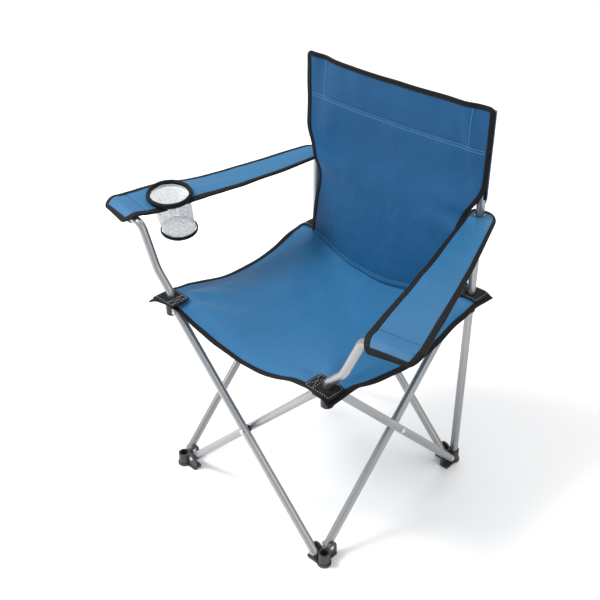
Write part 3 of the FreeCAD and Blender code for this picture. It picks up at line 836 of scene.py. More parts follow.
@dataclass
class ArmrestSurface(ClothSurface):
    """An armrest, v from its front end to the rear post; side is 1 right or -1 left."""

    width: float = 0.088
    length: float = 0.445
    side: int = 1
    front: tuple[float, float, float] = (327.0, -206.0, 49.5)
    rear: tuple[float, float, float] = (199.0, 212.0, 28.0)
    front_z: float = 547.5
    rear_z: float = 574.5
    slant: float = 7.0
    front_corner: float = 20.0
    rear_corner: float = 22.0
    cup: Pair = (-285.0, -114.0)
    cup_tilt: float = 0.15

    def point(self, u: float, v: float) -> Vector:
        """Middle of the cloth at u, v."""
        v = min(1.0, max(0.0, v))
        u_out = u * self.side
        x = self.front[0] + (self.rear[0] - self.front[0]) * v
        y = self.front[1] + (self.rear[1] - self.front[1]) * v + self.slant * u_out * (1 - v)
        half = self.front[2] + (self.rear[2] - self.front[2]) * v ** 1.3
        for from_end, corner in ((v * 418, self.front_corner), ((1 - v) * 418, self.rear_corner)):
            if from_end < corner:
                half -= corner - math.sqrt(corner ** 2 - (corner - from_end) ** 2)
        half += 1.6 * ripple(0.2 * u_out, v * 0.44, 17, 81.0 + self.side) * math.sin(math.pi * v) * abs(u)
        dip = 7 * math.sin(math.pi * max(0.0, (v - 0.1) / 0.9)) ** 1.3
        z = self.front_z + (self.rear_z - self.front_z) * v - dip + self.folds(u_out, v)
        x = self.side * (x + half * u_out)
        if self.side < 0:
            z -= self.cup_drop(x, y)
        return Vector((x, y - 8.0 * max(0.0, 1 - v / 0.055) ** 1.5, z)) * MM

    def cup_drop(self, x: float, y: float) -> float:
        """How far in millimetres the cloth round the cup ring hangs down towards its front inner side."""
        dx, dy = x - self.cup[0], y - self.cup[1]
        return self.cup_tilt * (0.7 * dx - 0.7 * dy) * math.exp(-((math.hypot(dx, dy) / 62) ** 4))

    def folds(self, u: float, v: float) -> float:
        """Height in mm: the tube's hump, the rolled front edge, crown, curl and slack, u outboard."""
        hump = 4.2 * math.exp(-((v - 0.034) / 0.022) ** 2) * max(0.0, 1 - u * u) ** 0.3
        roll = -11.0 * max(0.0, 1 - v / 0.055) ** 2.2
        groove = -1.6 * math.exp(-((v - 0.088) / 0.009) ** 2) * (1 - u * u)
        crown = 1.4 * (1 - u * u) * math.sin(math.pi * min(1.0, v * 1.6))
        curl = -2.0 * abs(u) ** 3 * math.sin(math.pi * v)
        slack = 2.2 * ripple(
            u * 0.04, v * 0.43, 13, 5.0 + self.side
        ) + 0.7 * ripple(u * 0.04, v * 0.43, 33, 6.0)
        return hump + roll + groove + crown + curl + slack * math.sin(math.pi * v) ** 0.7


@dataclass
class TubeLoop(ClothSurface):
    """The cloth loop that holds the level tube under an armrest, u round it and v outboard."""

    width: float = 0.047
    length: float = 0.037
    side: int = 1
    start: float = 293.0
    end: float = 330.0
    axis: tuple[float, float] = (-197.0, 536.2)
    radius: float = 9.3
    top: float = 539.0

    def point(self, u: float, v: float) -> Vector:
        """Middle of the cloth at u, v."""
        y, z = self.axis
        if abs(u) < 0.65:
            turn = math.pi / 2 * u / 0.65
            y += self.radius * math.sin(turn)
            z -= self.radius * math.cos(turn)
        else:
            y += math.copysign(self.radius, u)
            z += (abs(u) - 0.65) / 0.35 * (self.top - z)
        return Vector((self.side * (self.start + (self.end - self.start) * v), y, z)) * MM


@dataclass
class SleeveSurface(ClothSurface):
    """The cloth round the rear of a post, u from its inner seam to its outer one, v from the bottom up."""

    width: float = 0.066
    length: float = 0.164
    side: int = 1
    post: float = 197.0
    bottom: float = 604.0
    top: float = 767.0
    outline: tuple[Pair, ...] = (
        (-28.5, -8.2), (-19.0, -5.0), (-11.0, 2.0), (-6.6, 7.2), (0.0, 9.8), (6.6, 7.2), (9.9, 0.0),
        (11.6, -4.6), (15.0, -8.2),
    )

    def point(self, u: float, v: float) -> Vector:
        """Middle of the cloth at u, v."""
        reach = (len(self.outline) - 1) * (min(1.0, max(-1.0, u)) + 1) / 2
        table_x = tuple((i, p[0]) for i, p in enumerate(self.outline))
        table_y = tuple((i, p[1]) for i, p in enumerate(self.outline))
        x, y = between(table_x, reach), between(table_y, reach)
        z = self.bottom + (self.top - self.bottom) * v
        slack = 0.5 * (1 - u * u) * ripple(u * 0.03, z * MM, 28, 9.0)
        return Vector((self.side * (self.post + x), self.post + y + max(0.0, slack), z)) * MM


# ------------------------------------------------------------------ mesh tools

class Press:
    """Turns surfaces into finished meshes."""

    def __init__(self, wardrobe: Wardrobe) -> None:
        """Keeps the wardrobe.

        Args:
            wardrobe: Where finishes come from.
        """
        self.wardrobe = wardrobe

    def finish(self, bm: bmesh.types.BMesh, name: str, look: Look, smooth: bool = True) -> bpy.types.Object:
        """Makes an object of a bmesh and gives it its finish.

        Args:
            bm: The mesh, which is freed.
            name: The object's name.
            look: Its finish.
            smooth: Whether its faces are smooth.

        Returns:
            The new object.
        """
        for rim in (e for e in bm.edges if e.is_boundary):
            rim.smooth = False
        mesh = bpy.data.meshes.new(name)
        bm.to_mesh(mesh)
        bm.free()
        mesh.materials.append(self.wardrobe(look))
        mesh.polygons.foreach_set("use_smooth", [smooth] * len(mesh.polygons))
        piece = bpy.data.objects.new(name, mesh)
        bpy.context.collection.objects.link(piece)
        return piece

    @staticmethod
    def thicken(piece: bpy.types.Object, thickness: float, levels: int = 0) -> bpy.types.Object:
        """Gives a sheet its thickness and smooths it.

        Args:
            piece: The sheet.
            thickness: In metres.
            levels: Subdivision levels.

        Returns:
            The same object.
        """
        solid = piece.modifiers.new("thickness", "SOLIDIFY")
        solid.thickness = thickness
        solid.offset = 0.0
        if levels:
            smooth = piece.modifiers.new("smooth", "SUBSURF")
            smooth.levels = levels
            smooth.render_levels = levels
        return piece

    def panel(
        self, name: str, surface: ClothSurface, u_range: Pair, v_range: Pair, cells: tuple[int, int],
        look: Look, holes: Iterable[tuple[float, float, float]] = (),
        v_end: Optional[Callable[[float], float]] = None,
    ) -> bpy.types.Object:
        """A sheet over part of a surface.

        Args:
            name: The object's name.
            surface: The cloth's shape.
            u_range: First and last u.
            v_range: First and last v.
            cells: Cells across and along.
            look: Its finish.
            holes: x, y and radius in metres of round holes for posts.
            v_end: The last v at a given u, where it isn't the same all along.

        Returns:
            The new object.
        """
        bm = bmesh.new()
        layer = bm.loops.layers.uv.new("UVMap")
        bmesh.ops.create_grid(bm, x_segments=cells[0], y_segments=cells[1], size=0.5, calc_uvs=True)
        for face in bm.faces:
            for loop in face.loops:
                spot = self.spot(loop.vert.co, u_range, v_range, v_end)
                loop[layer].uv = (spot[0] * surface.width / 2, spot[1] * surface.length)
        for vert in bm.verts:
            vert.co = surface.point(*self.spot(vert.co, u_range, v_range, v_end))
        for x, y, radius in holes:
            self.punch(bm, x, y, radius)
        bmesh.ops.recalc_face_normals(bm, faces=bm.faces)
        return self.finish(bm, name, look)

    @staticmethod
    def spot(flat: Vector, u_range: Pair, v_range: Pair, v_end: Optional[Callable[[float], float]]) -> Pair:
        """The u, v of a point of the flat unit grid."""
        u = u_range[0] + (u_range[1] - u_range[0]) * (flat.x + 0.5)
        end = v_end(u) if v_end else v_range[1]
        return u, v_range[0] + (end - v_range[0]) * (flat.y + 0.5)

    @staticmethod
    def punch(bm: bmesh.types.BMesh, x: float, y: float, radius: float) -> None:
        """Opens a round upright hole in a sheet.

        Args:
            bm: The sheet.
            x: Hole axis.
            y: Hole axis.
            radius: In metres.
        """
        def away(co: Vector) -> float:
            """Distance from the hole's axis."""
            return math.hypot(co.x - x, co.y - y)

        near = [e for e in bm.edges if min(away(v.co) for v in e.verts) < radius * 2.0]
        if not near:
            return
        bmesh.ops.subdivide_edges(bm, edges=near, cuts=3, use_grid_fill=True)
        inside = [v for v in bm.verts if away(v.co) < radius]
        rim = {n for v in inside for e in v.link_edges for n in (e.other_vert(v),) if away(n.co) >= radius}
        bmesh.ops.delete(bm, geom=inside, context="VERTS")
        for vert in rim:
            if vert.is_valid:
                scale = radius / away(vert.co)
                vert.co.x = x + (vert.co.x - x) * scale
                vert.co.y = y + (vert.co.y - y) * scale

    def border(
        self, name: str, surface: ClothSurface, corners: Sequence[Pair], steps: int, width: float,
        look: Look, holes: Iterable[tuple[float, float, float]] = (), closed: bool = False,
        end_share: float = 1.0,
    ) -> bpy.types.Object:
        """A strip of tape that follows straight runs of a surface's edge round mitred corners.

        Args:
            name: The object's name.
            surface: The cloth it binds.
            corners: The u, v of the edge's corners in order.
            steps: Cells along each run.
            width: In metres.
            look: Its finish.
            holes: Post holes to leave open.
            closed: Whether the last corner joins the first.
            end_share: The tape's width along the surface's ends, as a share of its width.

        Returns:
            The new object.
        """
        path: list[Pair] = []
        ends = list(corners[1:]) + ([corners[0]] if closed else [])
        for (u0, v0), (u1, v1) in zip(corners, ends):
            shares = [0.5 - 0.5 * math.cos(math.pi * i / steps) for i in range(steps)]
            path += [(u0 + (u1 - u0) * share, v0 + (v1 - v0) * share) for share in shares]
        path.append(ends[-1])
        points = [surface.point(u, v) for u, v in path]
        done = [0.0]
        for before, after in zip(points, points[1:]):
            done.append(done[-1] + (after - before).length)
        du, dv = 2 * width / surface.width, end_share * width / surface.length
        cells = len(path) - 1
        bm = bmesh.new()
        layer = bm.loops.layers.uv.new("UVMap")
        bmesh.ops.create_grid(bm, x_segments=cells, y_segments=4, size=0.5, calc_uvs=True)
        for face in bm.faces:
            for loop in face.loops:
                co = loop.vert.co
                loop[layer].uv = (done[round((co.x + 0.5) * cells)], (co.y + 0.5) * width)
        for vert in bm.verts:
            u, v = path[round((vert.co.x + 0.5) * cells)]
            share = vert.co.y + 0.5
            inner_u, inner_v = max(du - 1, min(1 - du, u)), max(dv, min(1 - dv, v))
            vert.co = surface.point(u + (inner_u - u) * share, v + (inner_v - v) * share)
        if closed:
            bmesh.ops.remove_doubles(bm, verts=bm.verts, dist=1e-6)
        for x, y, radius in holes:
            self.punch(bm, x, y, radius)
        bmesh.ops.recalc_face_normals(bm, faces=bm.faces)
        return self.finish(bm, name, look)

    def stitches(
        self, name: str, runs: Sequence[Callable[[float], tuple[Vector, Vector]]], lengths: Sequence[float],
        look: Look, pitch: float = 0.0048, size: Pair = (0.0032, 0.00045),
    ) -> bpy.types.Object:
        """Rows of sewn stitches.

        Args:
            name: The object's name.
            runs: Each maps 0 to 1 to a point and the way the cloth faces there.
            lengths: Rough length of each run in metres.
            look: The thread.
            pitch: From stitch to stitch.
            size: A stitch's length and radius.

        Returns:
            The new object.
        """
        bm = bmesh.new()
        for run, length in zip(runs, lengths):
            count = max(2, int(length / pitch))
            for i in range(count):
                middle, out = run((i + 0.5) / count)
                ahead, _ = run((i + 0.6) / count)
                along = (ahead - middle).normalized()
                side = out.cross(along).normalized()
                turn = Matrix((along, side, along.cross(side))).transposed().to_4x4()
                shape = Matrix.Diagonal((size[0] / 2, size[1] * 1.3, size[1], 1.0))
                place = Matrix.Translation(middle + out * size[1]) @ turn @ shape
                bmesh.ops.create_uvsphere(bm, u_segments=5, v_segments=4, radius=1.0, matrix=place)
        return self.finish(bm, name, look)


def edge_run(
    surface: ClothSurface, start: Pair, end: Pair, lift: float
) -> Callable[[float], tuple[Vector, Vector]]:
    """A straight stitch line in u, v.

    Args:
        surface: The cloth.
        start: First u, v.
        end: Last u, v.
        lift: How far the thread lies off the middle of the cloth, in metres.

    Returns:
        A function from 0 to 1 to a point and a normal.
    """
    def run(t: float) -> tuple[Vector, Vector]:
        """Point and normal at t."""
        u, v = start[0] + (end[0] - start[0]) * t, start[1] + (end[1] - start[1]) * t
        out = surface.normal(u, min(0.998, max(0.002, v)))
        return surface.point(u, v) + out * lift, out
    return run


# ------------------------------------------------------------------ sub-assemblies

@dataclass
class TubeFrame:
    """Dresses the legs, posts, feet, hubs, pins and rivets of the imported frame."""

    looks: tuple[tuple[str, Look], ...] = (
        ("leg_", Look.TUBE), ("rear_post_", Look.TUBE), ("arm_post_", Look.TUBE),
        ("foot_pins_", Look.STEEL), ("hub_pins_", Look.STEEL), ("cross_rivet_", Look.STEEL),
        ("cross_spacer_", Look.PLASTIC), ("foot_", Look.PLASTIC), ("hub_", Look.PLASTIC),
    )

    def dress(self, frame: dict, wardrobe: Wardrobe) -> int:
        """Gives each rigid node its finish.

        Args:
            wardrobe: Where finishes come from.

        Returns:
            How many nodes were dressed.
        """
        dressed = 0
        for name, node in frame["nodes"].items():
            look = next((look for start, look in self.looks if name.startswith(start)), None)
            if look is None:
                continue
            node.data.materials.clear()
            node.data.materials.append(wardrobe(look))
            dressed += 1
        return dressed


@dataclass
class SeatSling:
    """The seat cloth in two halves that meet at the fold line, its binding and its stitches."""

    surface: SeatSurface = field(default_factory=SeatSurface)
    hole: float = 0.0089
    post: float = 0.197
    keep: float = 0.287
    binding: float = 0.011
    tab: float = 0.775

    def build(self, press: Press) -> list[bpy.types.Object]:
        """Makes both halves.

        Args:
            press: The mesh tools.

        Returns:
            The new pieces.
        """
        pieces: list[bpy.types.Object] = []
        for half, v_range, y in (("front", (0.0, 0.5), -self.post), ("rear", (0.5, 1.0), self.post)):
            pieces += self._half(press, half, v_range, [(s * self.post, y, self.hole) for s in (-1, 1)])
        return pieces

    def _half(self, press: Press, half: str, v_range: Pair, holes: list) -> list[bpy.types.Object]:
        """One half of the seat.

        Args:
            press: The mesh tools.
            half: "front" or "rear".
            v_range: The half's share of the surface.
            holes: Its post holes.

        Returns:
            Its cloth, binding and stitches.
        """
        body = f"seat_{half}_half"
        inset = 0.5 * self.binding / self.surface.length
        v_cloth = (max(v_range[0], inset), v_range[1]) if half == "front" else v_range
        v_end = self.surface.rear_v if half == "rear" else None
        cloth = press.panel(
            f"seat_cloth_{half}", self.surface, (-0.975, 0.975), v_cloth, (120, 52), Look.SEAT, holes, v_end,
        )
        Press.thicken(cloth, 0.0013)
        end = 0.0 if half == "front" else 1.0
        tab = self.tab
        if half == "rear":
            paths = [
                ("left", [(-1, 0.5), (-1, end), (-tab, end)]), ("right", [(tab, end), (1, end), (1, 0.5)])
            ]
        else:
            paths = [("all", [(-1, 0.5), (-1, end), (1, end), (1, 0.5)])]
        tapes = [
            press.border(
                f"seat_tape_{half}_{part}", self.surface, path, 60, self.binding, Look.BINDING, holes
            )
            for part, path in paths
        ]
        for tape in tapes:
            Press.thicken(tape, 0.0036, 1)
        du, dv = 2 * 0.0085 / self.surface.width, 0.0085 / self.surface.length
        far = 0.09 if half == "front" else 0.91
        runs = [edge_run(self.surface, (s * (1 - du), 0.5), (s * (1 - du), far), 0.0019) for s in (-1, 1)]
        lengths = [0.19, 0.19]
        if half == "front":
            runs.append(edge_run(self.surface, (-0.84, dv), (0.84, dv), 0.0019))
            lengths.append(0.38)
        sewing = press.stitches(f"seat_sewing_{half}", runs, lengths, Look.BLACK_THREAD)
        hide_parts(f"seat_{half}")
        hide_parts(f"seat_{half}_binding")
        for piece in (cloth, sewing, *tapes):
            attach(piece, body)
            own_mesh(piece)
        return [cloth, sewing, *tapes]


@dataclass
class BackRest:
    """The back cloth, its binding, its top band with stitches and the post sleeves behind it."""

    surface: BackSurface = field(default_factory=BackSurface)
    keep: float = 0.287
    binding: float = 0.011
    band_v: float = 0.782

    def build(self, press: Press) -> list[bpy.types.Object]:
        """Makes the back.

        Args:
            press: The mesh tools.

        Returns:
            The new pieces.
        """
        s = self.surface
        root = "rear_right_foot_and_post"
        # The back cloth's darker blue is painted shade.
        cloth = press.panel("back_cloth", s, (-0.975, 0.975), (-0.012, 0.985), (120, 120), Look.BACK_PAINTED_SHADE)
        Press.thicken(cloth, 0.0013)
        tape = press.border(
            "back_tape", s, [(-1, 0.0), (-1, 1), (1, 1), (1, 0.0)], 72, self.binding, Look.BINDING
        )
        Press.thicken(tape, 0.0036, 1)
        band = [edge_run(s, (-0.94, v), (0.94, v), 0.0008) for v in (self.band_v, self.band_v - 0.014)]
        upright = [edge_run(s, (side * 0.79, self.band_v), (side * 0.79, 0.975), 0.0008) for side in (-1, 1)]
        foot = [edge_run(s, (-0.95, v), (0.95, v), 0.0008) for v in (0.012, 0.022)]
        runs = band + upright + foot
        seam = press.stitches(
            "back_band_sewing", runs, [0.40, 0.40, 0.08, 0.08, 0.36, 0.36], Look.BLUE_THREAD
        )
        du = 2 * 0.0085 / s.width
        sides = [edge_run(s, (side * (1 - du), 0.02), (side * (1 - du), 0.96), 0.0019) for side in (-1, 1)]
        top = [edge_run(s, (-0.95, 0.979), (0.95, 0.979), 0.0019)]
        hem = press.stitches("back_tape_sewing", sides + top, [0.38, 0.38, 0.40], Look.BLACK_THREAD)
        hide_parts("back_panel")
        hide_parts("back_binding")
        for piece in (cloth, tape, seam, hem):
            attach(piece, root)
            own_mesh(piece)
        return [cloth, tape, seam, hem] + [self._sleeve(press, side) for side in (1, -1)]

    @staticmethod
    def _sleeve(press: Press, side: int) -> bpy.types.Object:
        """The cloth round the rear of one post.

        Args:
            press: The mesh tools.
            side: 1 right or -1 left.

        Returns:
            The new piece.
        """
        label = "right" if side == 1 else "left"
        surface = SleeveSurface(side=side)
        # The sleeves share the back's darker blue, which is painted shade.
        sleeve = press.panel(f"post_sleeve_{label}", surface, (-1, 1), (0, 1), (28, 60), Look.BACK_PAINTED_SHADE)
        Press.thicken(sleeve, 0.0012)
        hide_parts(f"back_sleeve_{label}")
        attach(sleeve, f"rear_{label}_foot_and_post")
        return sleeve


@dataclass
class Armrest:
    """One armrest: cloth, binding and stitches."""

    side: int = 1
    keep: float = 0.378
    binding: float = 0.011
    pivot_y: float = -0.197
    cup: Optional[tuple[float, float, float]] = None

    def build(self, press: Press) -> list[bpy.types.Object]:
        """Makes the armrest.

        Args:
            press: The mesh tools.

        Returns:
            The new pieces.
        """
        label = "right" if self.side == 1 else "left"
        s = ArmrestSurface(side=self.side)
        holes = [(self.side * 0.197, 0.197, 0.0089)]
        if self.cup:
            holes.append(self.cup)
        cloth = press.panel(
            f"armrest_cloth_{label}", s, (-0.93, 0.93), (0.012, 0.988), (36, 150), Look.ARMREST, holes,
        )
        Press.thicken(cloth, 0.0026)
        around = [(-1, 0), (1, 0), (1, 1), (-1, 1)]
        tape = press.border(
            f"armrest_tape_{label}", s, around, 72, self.binding, Look.BINDING, holes, closed=True,
            end_share=0.5,
        )
        Press.thicken(tape, 0.0044, 1)
        du, dv = 2 * 0.0085 / s.width, 0.0042 / s.length
        inner = [(-1 + du, dv), (1 - du, dv), (1 - du, 1 - dv), (-1 + du, 1 - dv)]
        runs = [edge_run(s, a, b, 0.0024) for a, b in zip(inner, inner[1:] + inner[:1])]
        runs.append(edge_run(s, (-0.72, 0.088), (0.72, 0.088), 0.0015))
        lengths = [0.07, 0.42, 0.03, 0.42, 0.07]
        if self.cup:
            runs, lengths = [runs[0], runs[2], runs[4]], [0.07, 0.03, 0.07]
        sewing = press.stitches(f"armrest_sewing_{label}", runs, lengths, Look.BLACK_THREAD)
        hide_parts(f"armrest_{label}")
        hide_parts(f"armrest_{label}_binding")
        for piece in (cloth, tape, sewing):
            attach(piece, f"{label}_armrest")
            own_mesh(piece)
        return [cloth, tape, sewing, self._loop(press, label)]

    def _loop(self, press: Press, label: str) -> bpy.types.Object:
        """The loop that holds the tube.

        Args:
            press: The mesh tools.
            label: "right" or "left".

        Returns:
            The new piece.
        """
        surface = TubeLoop(side=self.side)
        loop = press.panel(f"tube_loop_{label}", surface, (-1, 1), (0, 1), (40, 12), Look.ARMREST)
        Press.thicken(loop, 0.0014)
        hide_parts(f"arm_sleeve_{label}")
        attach(loop, f"{label}_armrest")
        return loop


@dataclass
class CupHolder:
    """The cup holder in the left armrest: taped ring, mesh pocket and taped hoop at its foot."""

    x: float = -0.285
    y: float = -0.114
    ring: float = 0.040
    ring_z: float = 0.5578
    depth: float = 0.076
    foot: float = 0.0335
    lean: Pair = (0.009, 0.011)
    tilt: float = 0.14
    keep: float = 0.378
    pivot_y: float = -0.197

    def build(self, press: Press) -> list[bpy.types.Object]:
        """Makes the cup holder.

        Args:
            press: The mesh tools.

        Returns:
            The new pieces.
        """
        ring = self._hoop(press, "cup_ring_tape", self.ring, self.ring_z, 0.0040, 0.0050, "cup_ring")
        foot_z = self.ring_z - self.depth + 0.003
        hoop = self._hoop(press, "cup_foot_tape", self.foot + 0.0012, foot_z, 0.0015, 0.0038, "cup_hoop")
        pocket = self._pocket(press)
        pieces = [ring, hoop, pocket]
        for piece in pieces:
            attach(piece, "left_armrest")
            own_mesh(piece)
        return pieces

    def _hoop(
        self, press: Press, name: str, radius: float, z: float, thick: float, tall: float, node: str,
    ) -> bpy.types.Object:
        """A taped hoop.

        Args:
            press: The mesh tools.
            name: The object's name.
            radius: To the middle of the tape.
            z: Height of its middle.
            thick: Half thickness across.
            tall: Half height.
            node: The CAD node it stands for.

        Returns:
            The new piece.
        """
        bm = bmesh.new()
        bmesh.ops.create_circle(bm, segments=10, radius=1.0)
        shape = Matrix.Diagonal((thick, tall, 1.0, 1.0))
        stand = Matrix.Rotation(math.radians(90), 4, "X")
        bmesh.ops.transform(bm, matrix=Matrix.Translation((radius, 0, 0)) @ stand @ shape, verts=bm.verts)
        bmesh.ops.spin(
            bm, geom=bm.edges[:] + bm.verts[:], cent=(0, 0, 0), axis=(0, 0, 1), angle=math.tau,
            steps=72, use_merge=True,
        )
        layer = bm.loops.layers.uv.new("UVMap")
        for face in bm.faces:
            middle = face.calc_center_median()
            base = math.atan2(middle.y, middle.x)
            for loop in face.loops:
                co = loop.vert.co
                turn = math.remainder(math.atan2(co.y, co.x) - base, math.tau) + base
                loop[layer].uv = (turn * radius, co.z + math.hypot(co.x, co.y))
        low = (self.ring_z - z) / self.depth
        for vert in bm.verts:
            turn = math.atan2(vert.co.y, vert.co.x)
            vert.co *= 1 + 0.012 * ripple(0.3 * math.cos(turn), 0.3 * math.sin(turn), 12, 91.0)
            vert.co.z -= self.tilt * (0.7 * vert.co.x - 0.7 * vert.co.y)
        bmesh.ops.translate(
            bm, verts=bm.verts, vec=(self.x + low * self.lean[0], self.y + low * self.lean[1], z)
        )
        bmesh.ops.recalc_face_normals(bm, faces=bm.faces)
        piece = press.finish(bm, name, Look.BINDING)
        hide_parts(node)
        return piece

    def _pocket(self, press: Press) -> bpy.types.Object:
        """The mesh pocket, open at the top.

        Args:
            press: The mesh tools.

        Returns:
            The new piece.
        """
        bm = bmesh.new()
        start = bm.verts.new((self.ring - 0.0036, 0, 0))
        foot = [bmesh.ops.extrude_vert_indiv(bm, verts=[start])["verts"][0]]
        foot[0].co = Vector((self.foot, 0, -self.depth + 0.004))
        for x, z in ((self.foot - 0.004, -self.depth + 0.0012), (0.0006, -self.depth + 0.0005)):
            nxt = bmesh.ops.extrude_vert_indiv(bm, verts=[foot[-1]])["verts"][0]
            nxt.co = Vector((x, 0, z))
            foot.append(nxt)
        bmesh.ops.subdivide_edges(bm, edges=bm.edges[:], cuts=9)
        bmesh.ops.spin(
            bm, geom=bm.edges[:] + bm.verts[:], cent=(0, 0, 0), axis=(0, 0, 1), angle=math.tau,
            steps=72, use_merge=True,
        )
        layer = bm.loops.layers.uv.new("UVMap")
        for face in bm.faces:
            middle = face.calc_center_median()
            base = math.atan2(middle.y, middle.x)
            flat = abs(face.normal.z) > 0.8
            for loop in face.loops:
                co = loop.vert.co
                turn = math.remainder(math.atan2(co.y, co.x) - base, math.tau) + base
                loop[layer].uv = (co.x, co.y) if flat else (turn * self.foot, co.z)
        for vert in bm.verts:
            away = math.hypot(vert.co.x, vert.co.y)
            turn = math.atan2(vert.co.y, vert.co.x)
            slack = 0.0011 * math.sin(5 * turn + 60 * vert.co.z) * min(1.0, -vert.co.z / 0.02)
            if away > 0.01:
                vert.co.x *= 1 - abs(slack) / away * 1.5
                vert.co.y *= 1 - abs(slack) / away * 1.5
        for vert in bm.verts:
            low = -vert.co.z / self.depth
            vert.co.z -= self.tilt * (0.7 * vert.co.x - 0.7 * vert.co.y)
            vert.co.x += low * self.lean[0]
            vert.co.y += low * self.lean[1]
        bmesh.ops.translate(bm, verts=bm.verts, vec=(self.x, self.y, self.ring_z))
        bmesh.ops.recalc_face_normals(bm, faces=bm.faces)
        pocket = press.finish(bm, "cup_pocket_mesh", Look.MESH)
        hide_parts("cup_pocket")
        return pocket


@dataclass
class CornerPatch:
    """A black webbing square sewn on a corner of the seat, with the post through it."""

    end: str
    side: str
    width: float = 0.058
    depth: float = 0.044
    edge: float = 0.222
    z: float = 0.4083
    post: float = 0.197

    def build(self, press: Press) -> list[bpy.types.Object]:
        """Makes the patch.

        Args:
            press: The mesh tools.

        Returns:
            The patch and its stitches.
        """
        sx = 1 if self.side == "right" else -1
        sy = 1 if self.end == "rear" else -1
        bm = bmesh.new()
        layer = bm.loops.layers.uv.new("UVMap")
        bmesh.ops.create_grid(bm, x_segments=14, y_segments=12, size=0.5, calc_uvs=True)
        for vert in bm.verts:
            x, y = vert.co.x * self.width, vert.co.y * self.depth
            pinch = 1 - 0.05 * (2 * vert.co.x) ** 4 * (2 * vert.co.y) ** 4
            crown = 0.0012 * (1 - (2 * vert.co.x) ** 4) * (1 - (2 * vert.co.y) ** 4)
            centre_x, centre_y = self.edge - self.width / 2, self.edge - self.depth / 2
            place = Vector((centre_x + x * pinch, centre_y + y * pinch, self.z + crown))
            place.z += self.rise(place.x)
            vert.co = Vector((sx * place.x, sy * place.y, place.z))
        for face in bm.faces:
            for loop in face.loops:
                loop[layer].uv = (loop.vert.co.x, loop.vert.co.y)
        Press.punch(bm, sx * self.post, sy * self.post, 0.0087)
        bmesh.ops.recalc_face_normals(bm, faces=bm.faces)
        label = f"{self.end}_{self.side}"
        patch = press.finish(bm, f"webbing_patch_{label}", Look.WEBBING)
        Press.thicken(patch, 0.0015)
        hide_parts(f"corner_patch_{label}")
        body = f"{label}_hub_and_arm_post" if self.end == "front" else f"{label}_hub"
        sewing = self._sewing(press, label, sx, sy)
        for piece in (patch, sewing):
            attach(piece, body)
        return [patch, sewing]

    def rise(self, x: float) -> float:
        """Height in m of the patch's inner end and fall of its outer one, at x from the chair's middle."""
        return 0.06 * max(0.0, self.post - 0.014 - x) - 0.28 * max(0.0, x - 0.211)

    def _sewing(self, press: Press, label: str, sx: int, sy: int) -> bpy.types.Object:
        """The pale box stitch round the patch and across it beside the post.

        Args:
            press: The mesh tools.
            label: The patch's corner.
            sx: 1 right or -1 left.
            sy: 1 rear or -1 front.

        Returns:
            The new piece.
        """
        inside, rim = self.edge - 0.004, self.post - 0.014
        near_x, near_y = self.edge - self.width + 0.004, self.edge - self.depth + 0.004
        spots = [(near_x, near_y), (inside, near_y), (inside, inside), (near_x, inside)]
        lines = list(zip(spots, spots[1:] + spots[:1]))
        lines += [
            ((near_x, near_y), (rim, inside)), ((near_x, inside), (rim, near_y)),
            ((rim, near_y), (rim, inside))
        ]

        def line(start: Pair, end: Pair) -> Callable[[float], tuple[Vector, Vector]]:
            """A straight line over the patch."""
            def run(t: float) -> tuple[Vector, Vector]:
                """Point and normal at t."""
                x, y = start[0] + (end[0] - start[0]) * t, start[1] + (end[1] - start[1]) * t
                return Vector((sx * x, sy * y, self.z + self.rise(x) + 0.0016)), UP
            return run

        runs = [line(start, end) for start, end in lines]
        lengths = [math.dist(start, end) for start, end in lines]
        return press.stitches(f"patch_sewing_{label}", runs, lengths, Look.PALE_THREAD)


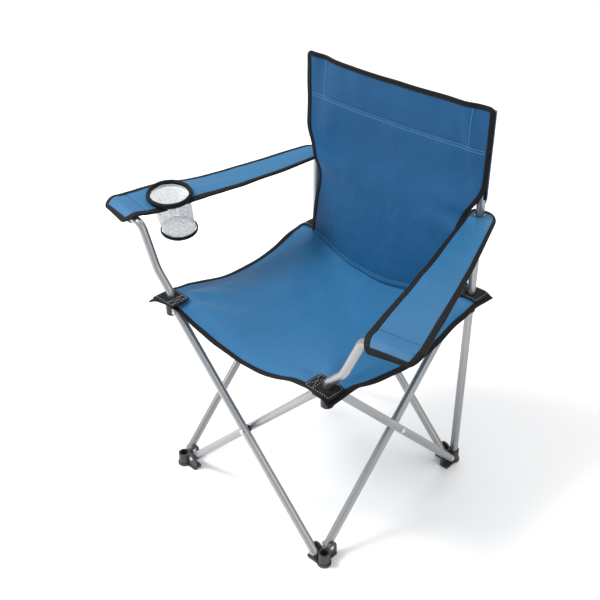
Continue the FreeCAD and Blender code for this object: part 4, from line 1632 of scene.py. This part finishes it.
@dataclass
class Studio:
    """Floor, light and camera."""

    target: tuple[float, float, float] = (-0.0274, -0.0286, 0.3978)
    azimuth: float = 44.0
    elevation: float = 32.8
    distance: float = 1.8338
    lens: float = 59.14

    def direction(self, azimuth: float, elevation: float) -> Vector:
        """The way from the target to a point at that azimuth and elevation."""
        a, e = math.radians(azimuth), math.radians(elevation)
        return Vector((math.sin(a) * math.cos(e), -math.cos(a) * math.cos(e), math.sin(e)))

    def camera(self) -> bpy.types.Object:
        """Makes the camera.

        Returns:
            The camera object.
        """
        data = bpy.data.cameras.new("camera")
        data.lens = self.lens
        data.sensor_width = 36.0
        eye = bpy.data.objects.new("camera", data)
        bpy.context.collection.objects.link(eye)
        back = self.direction(self.azimuth, self.elevation)
        eye.location = Vector(self.target) + back * self.distance
        eye.rotation_euler = back.to_track_quat("Z", "Y").to_euler()
        bpy.context.scene.camera = eye
        return eye

    def lamp(
        self, name: str, azimuth: float, elevation: float, away: float, size: float, power: float
    ) -> None:
        """Adds one soft lamp aimed at the chair.

        Args:
            name: The lamp's name.
            azimuth: In degrees.
            elevation: In degrees.
            away: Distance in metres.
            size: Side of the square lamp in metres.
            power: In watts.
        """
        data = bpy.data.lights.new(name, "AREA")
        data.size = size
        data.energy = power
        lamp = bpy.data.objects.new(name, data)
        bpy.context.collection.objects.link(lamp)
        back = self.direction(azimuth, elevation)
        lamp.location = Vector(self.target) + back * away
        lamp.rotation_euler = back.to_track_quat("Z", "Y").to_euler()

    def build(self, wardrobe: Wardrobe) -> None:
        """Makes floor, light and camera.

        Args:
            wardrobe: Where finishes come from.
        """
        bm = bmesh.new()
        bmesh.ops.create_grid(bm, x_segments=1, y_segments=1, size=6.0)
        floor = Press(wardrobe).finish(bm, "floor", Look.FLOOR, smooth=False)
        floor.location.z = -0.0005
        world = bpy.data.worlds.new("studio")
        bpy.context.scene.world = world
        bpy.context.scene.view_settings.view_transform = "Standard"
        world.use_nodes = True
        sky = world.node_tree.nodes["Background"]
        sky.inputs["Color"].default_value = (1.0, 1.0, 1.0, 1.0)
        sky.inputs["Strength"].default_value = 0.80
        self.lamp("key", -48, 50, 3.2, 1.3, 125)
        self.lamp("fill", 80, 35, 3.6, 2.6, 22)
        self.lamp("rim", 200, 50, 3.4, 2.0, 28)
        self.camera()


def main() -> None:
    """Builds the chair's looks and the studio, in order."""
    logging.basicConfig(level=logging.INFO, format="%(message)s")
    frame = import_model()
    wardrobe = Wardrobe()
    press = Press(wardrobe)
    studio = Studio()
    studio.build(wardrobe)
    LOG.info("dressed %d frame nodes", TubeFrame().dress(frame, wardrobe))
    cup = CupHolder()
    made: list[bpy.types.Object] = []
    made += SeatSling().build(press)
    made += BackRest().build(press)
    made += Armrest(side=1).build(press)
    made += Armrest(side=-1, cup=(cup.x, cup.y, 0.0372)).build(press)
    made += cup.build(press)
    for end in ("front", "rear"):
        for side in ("left", "right"):
            made += CornerPatch(end, side).build(press)
    for piece in made:
        LOG.info("%s: %d faces", piece.name, len(piece.data.polygons))


if __name__ == "__main__":
    main()
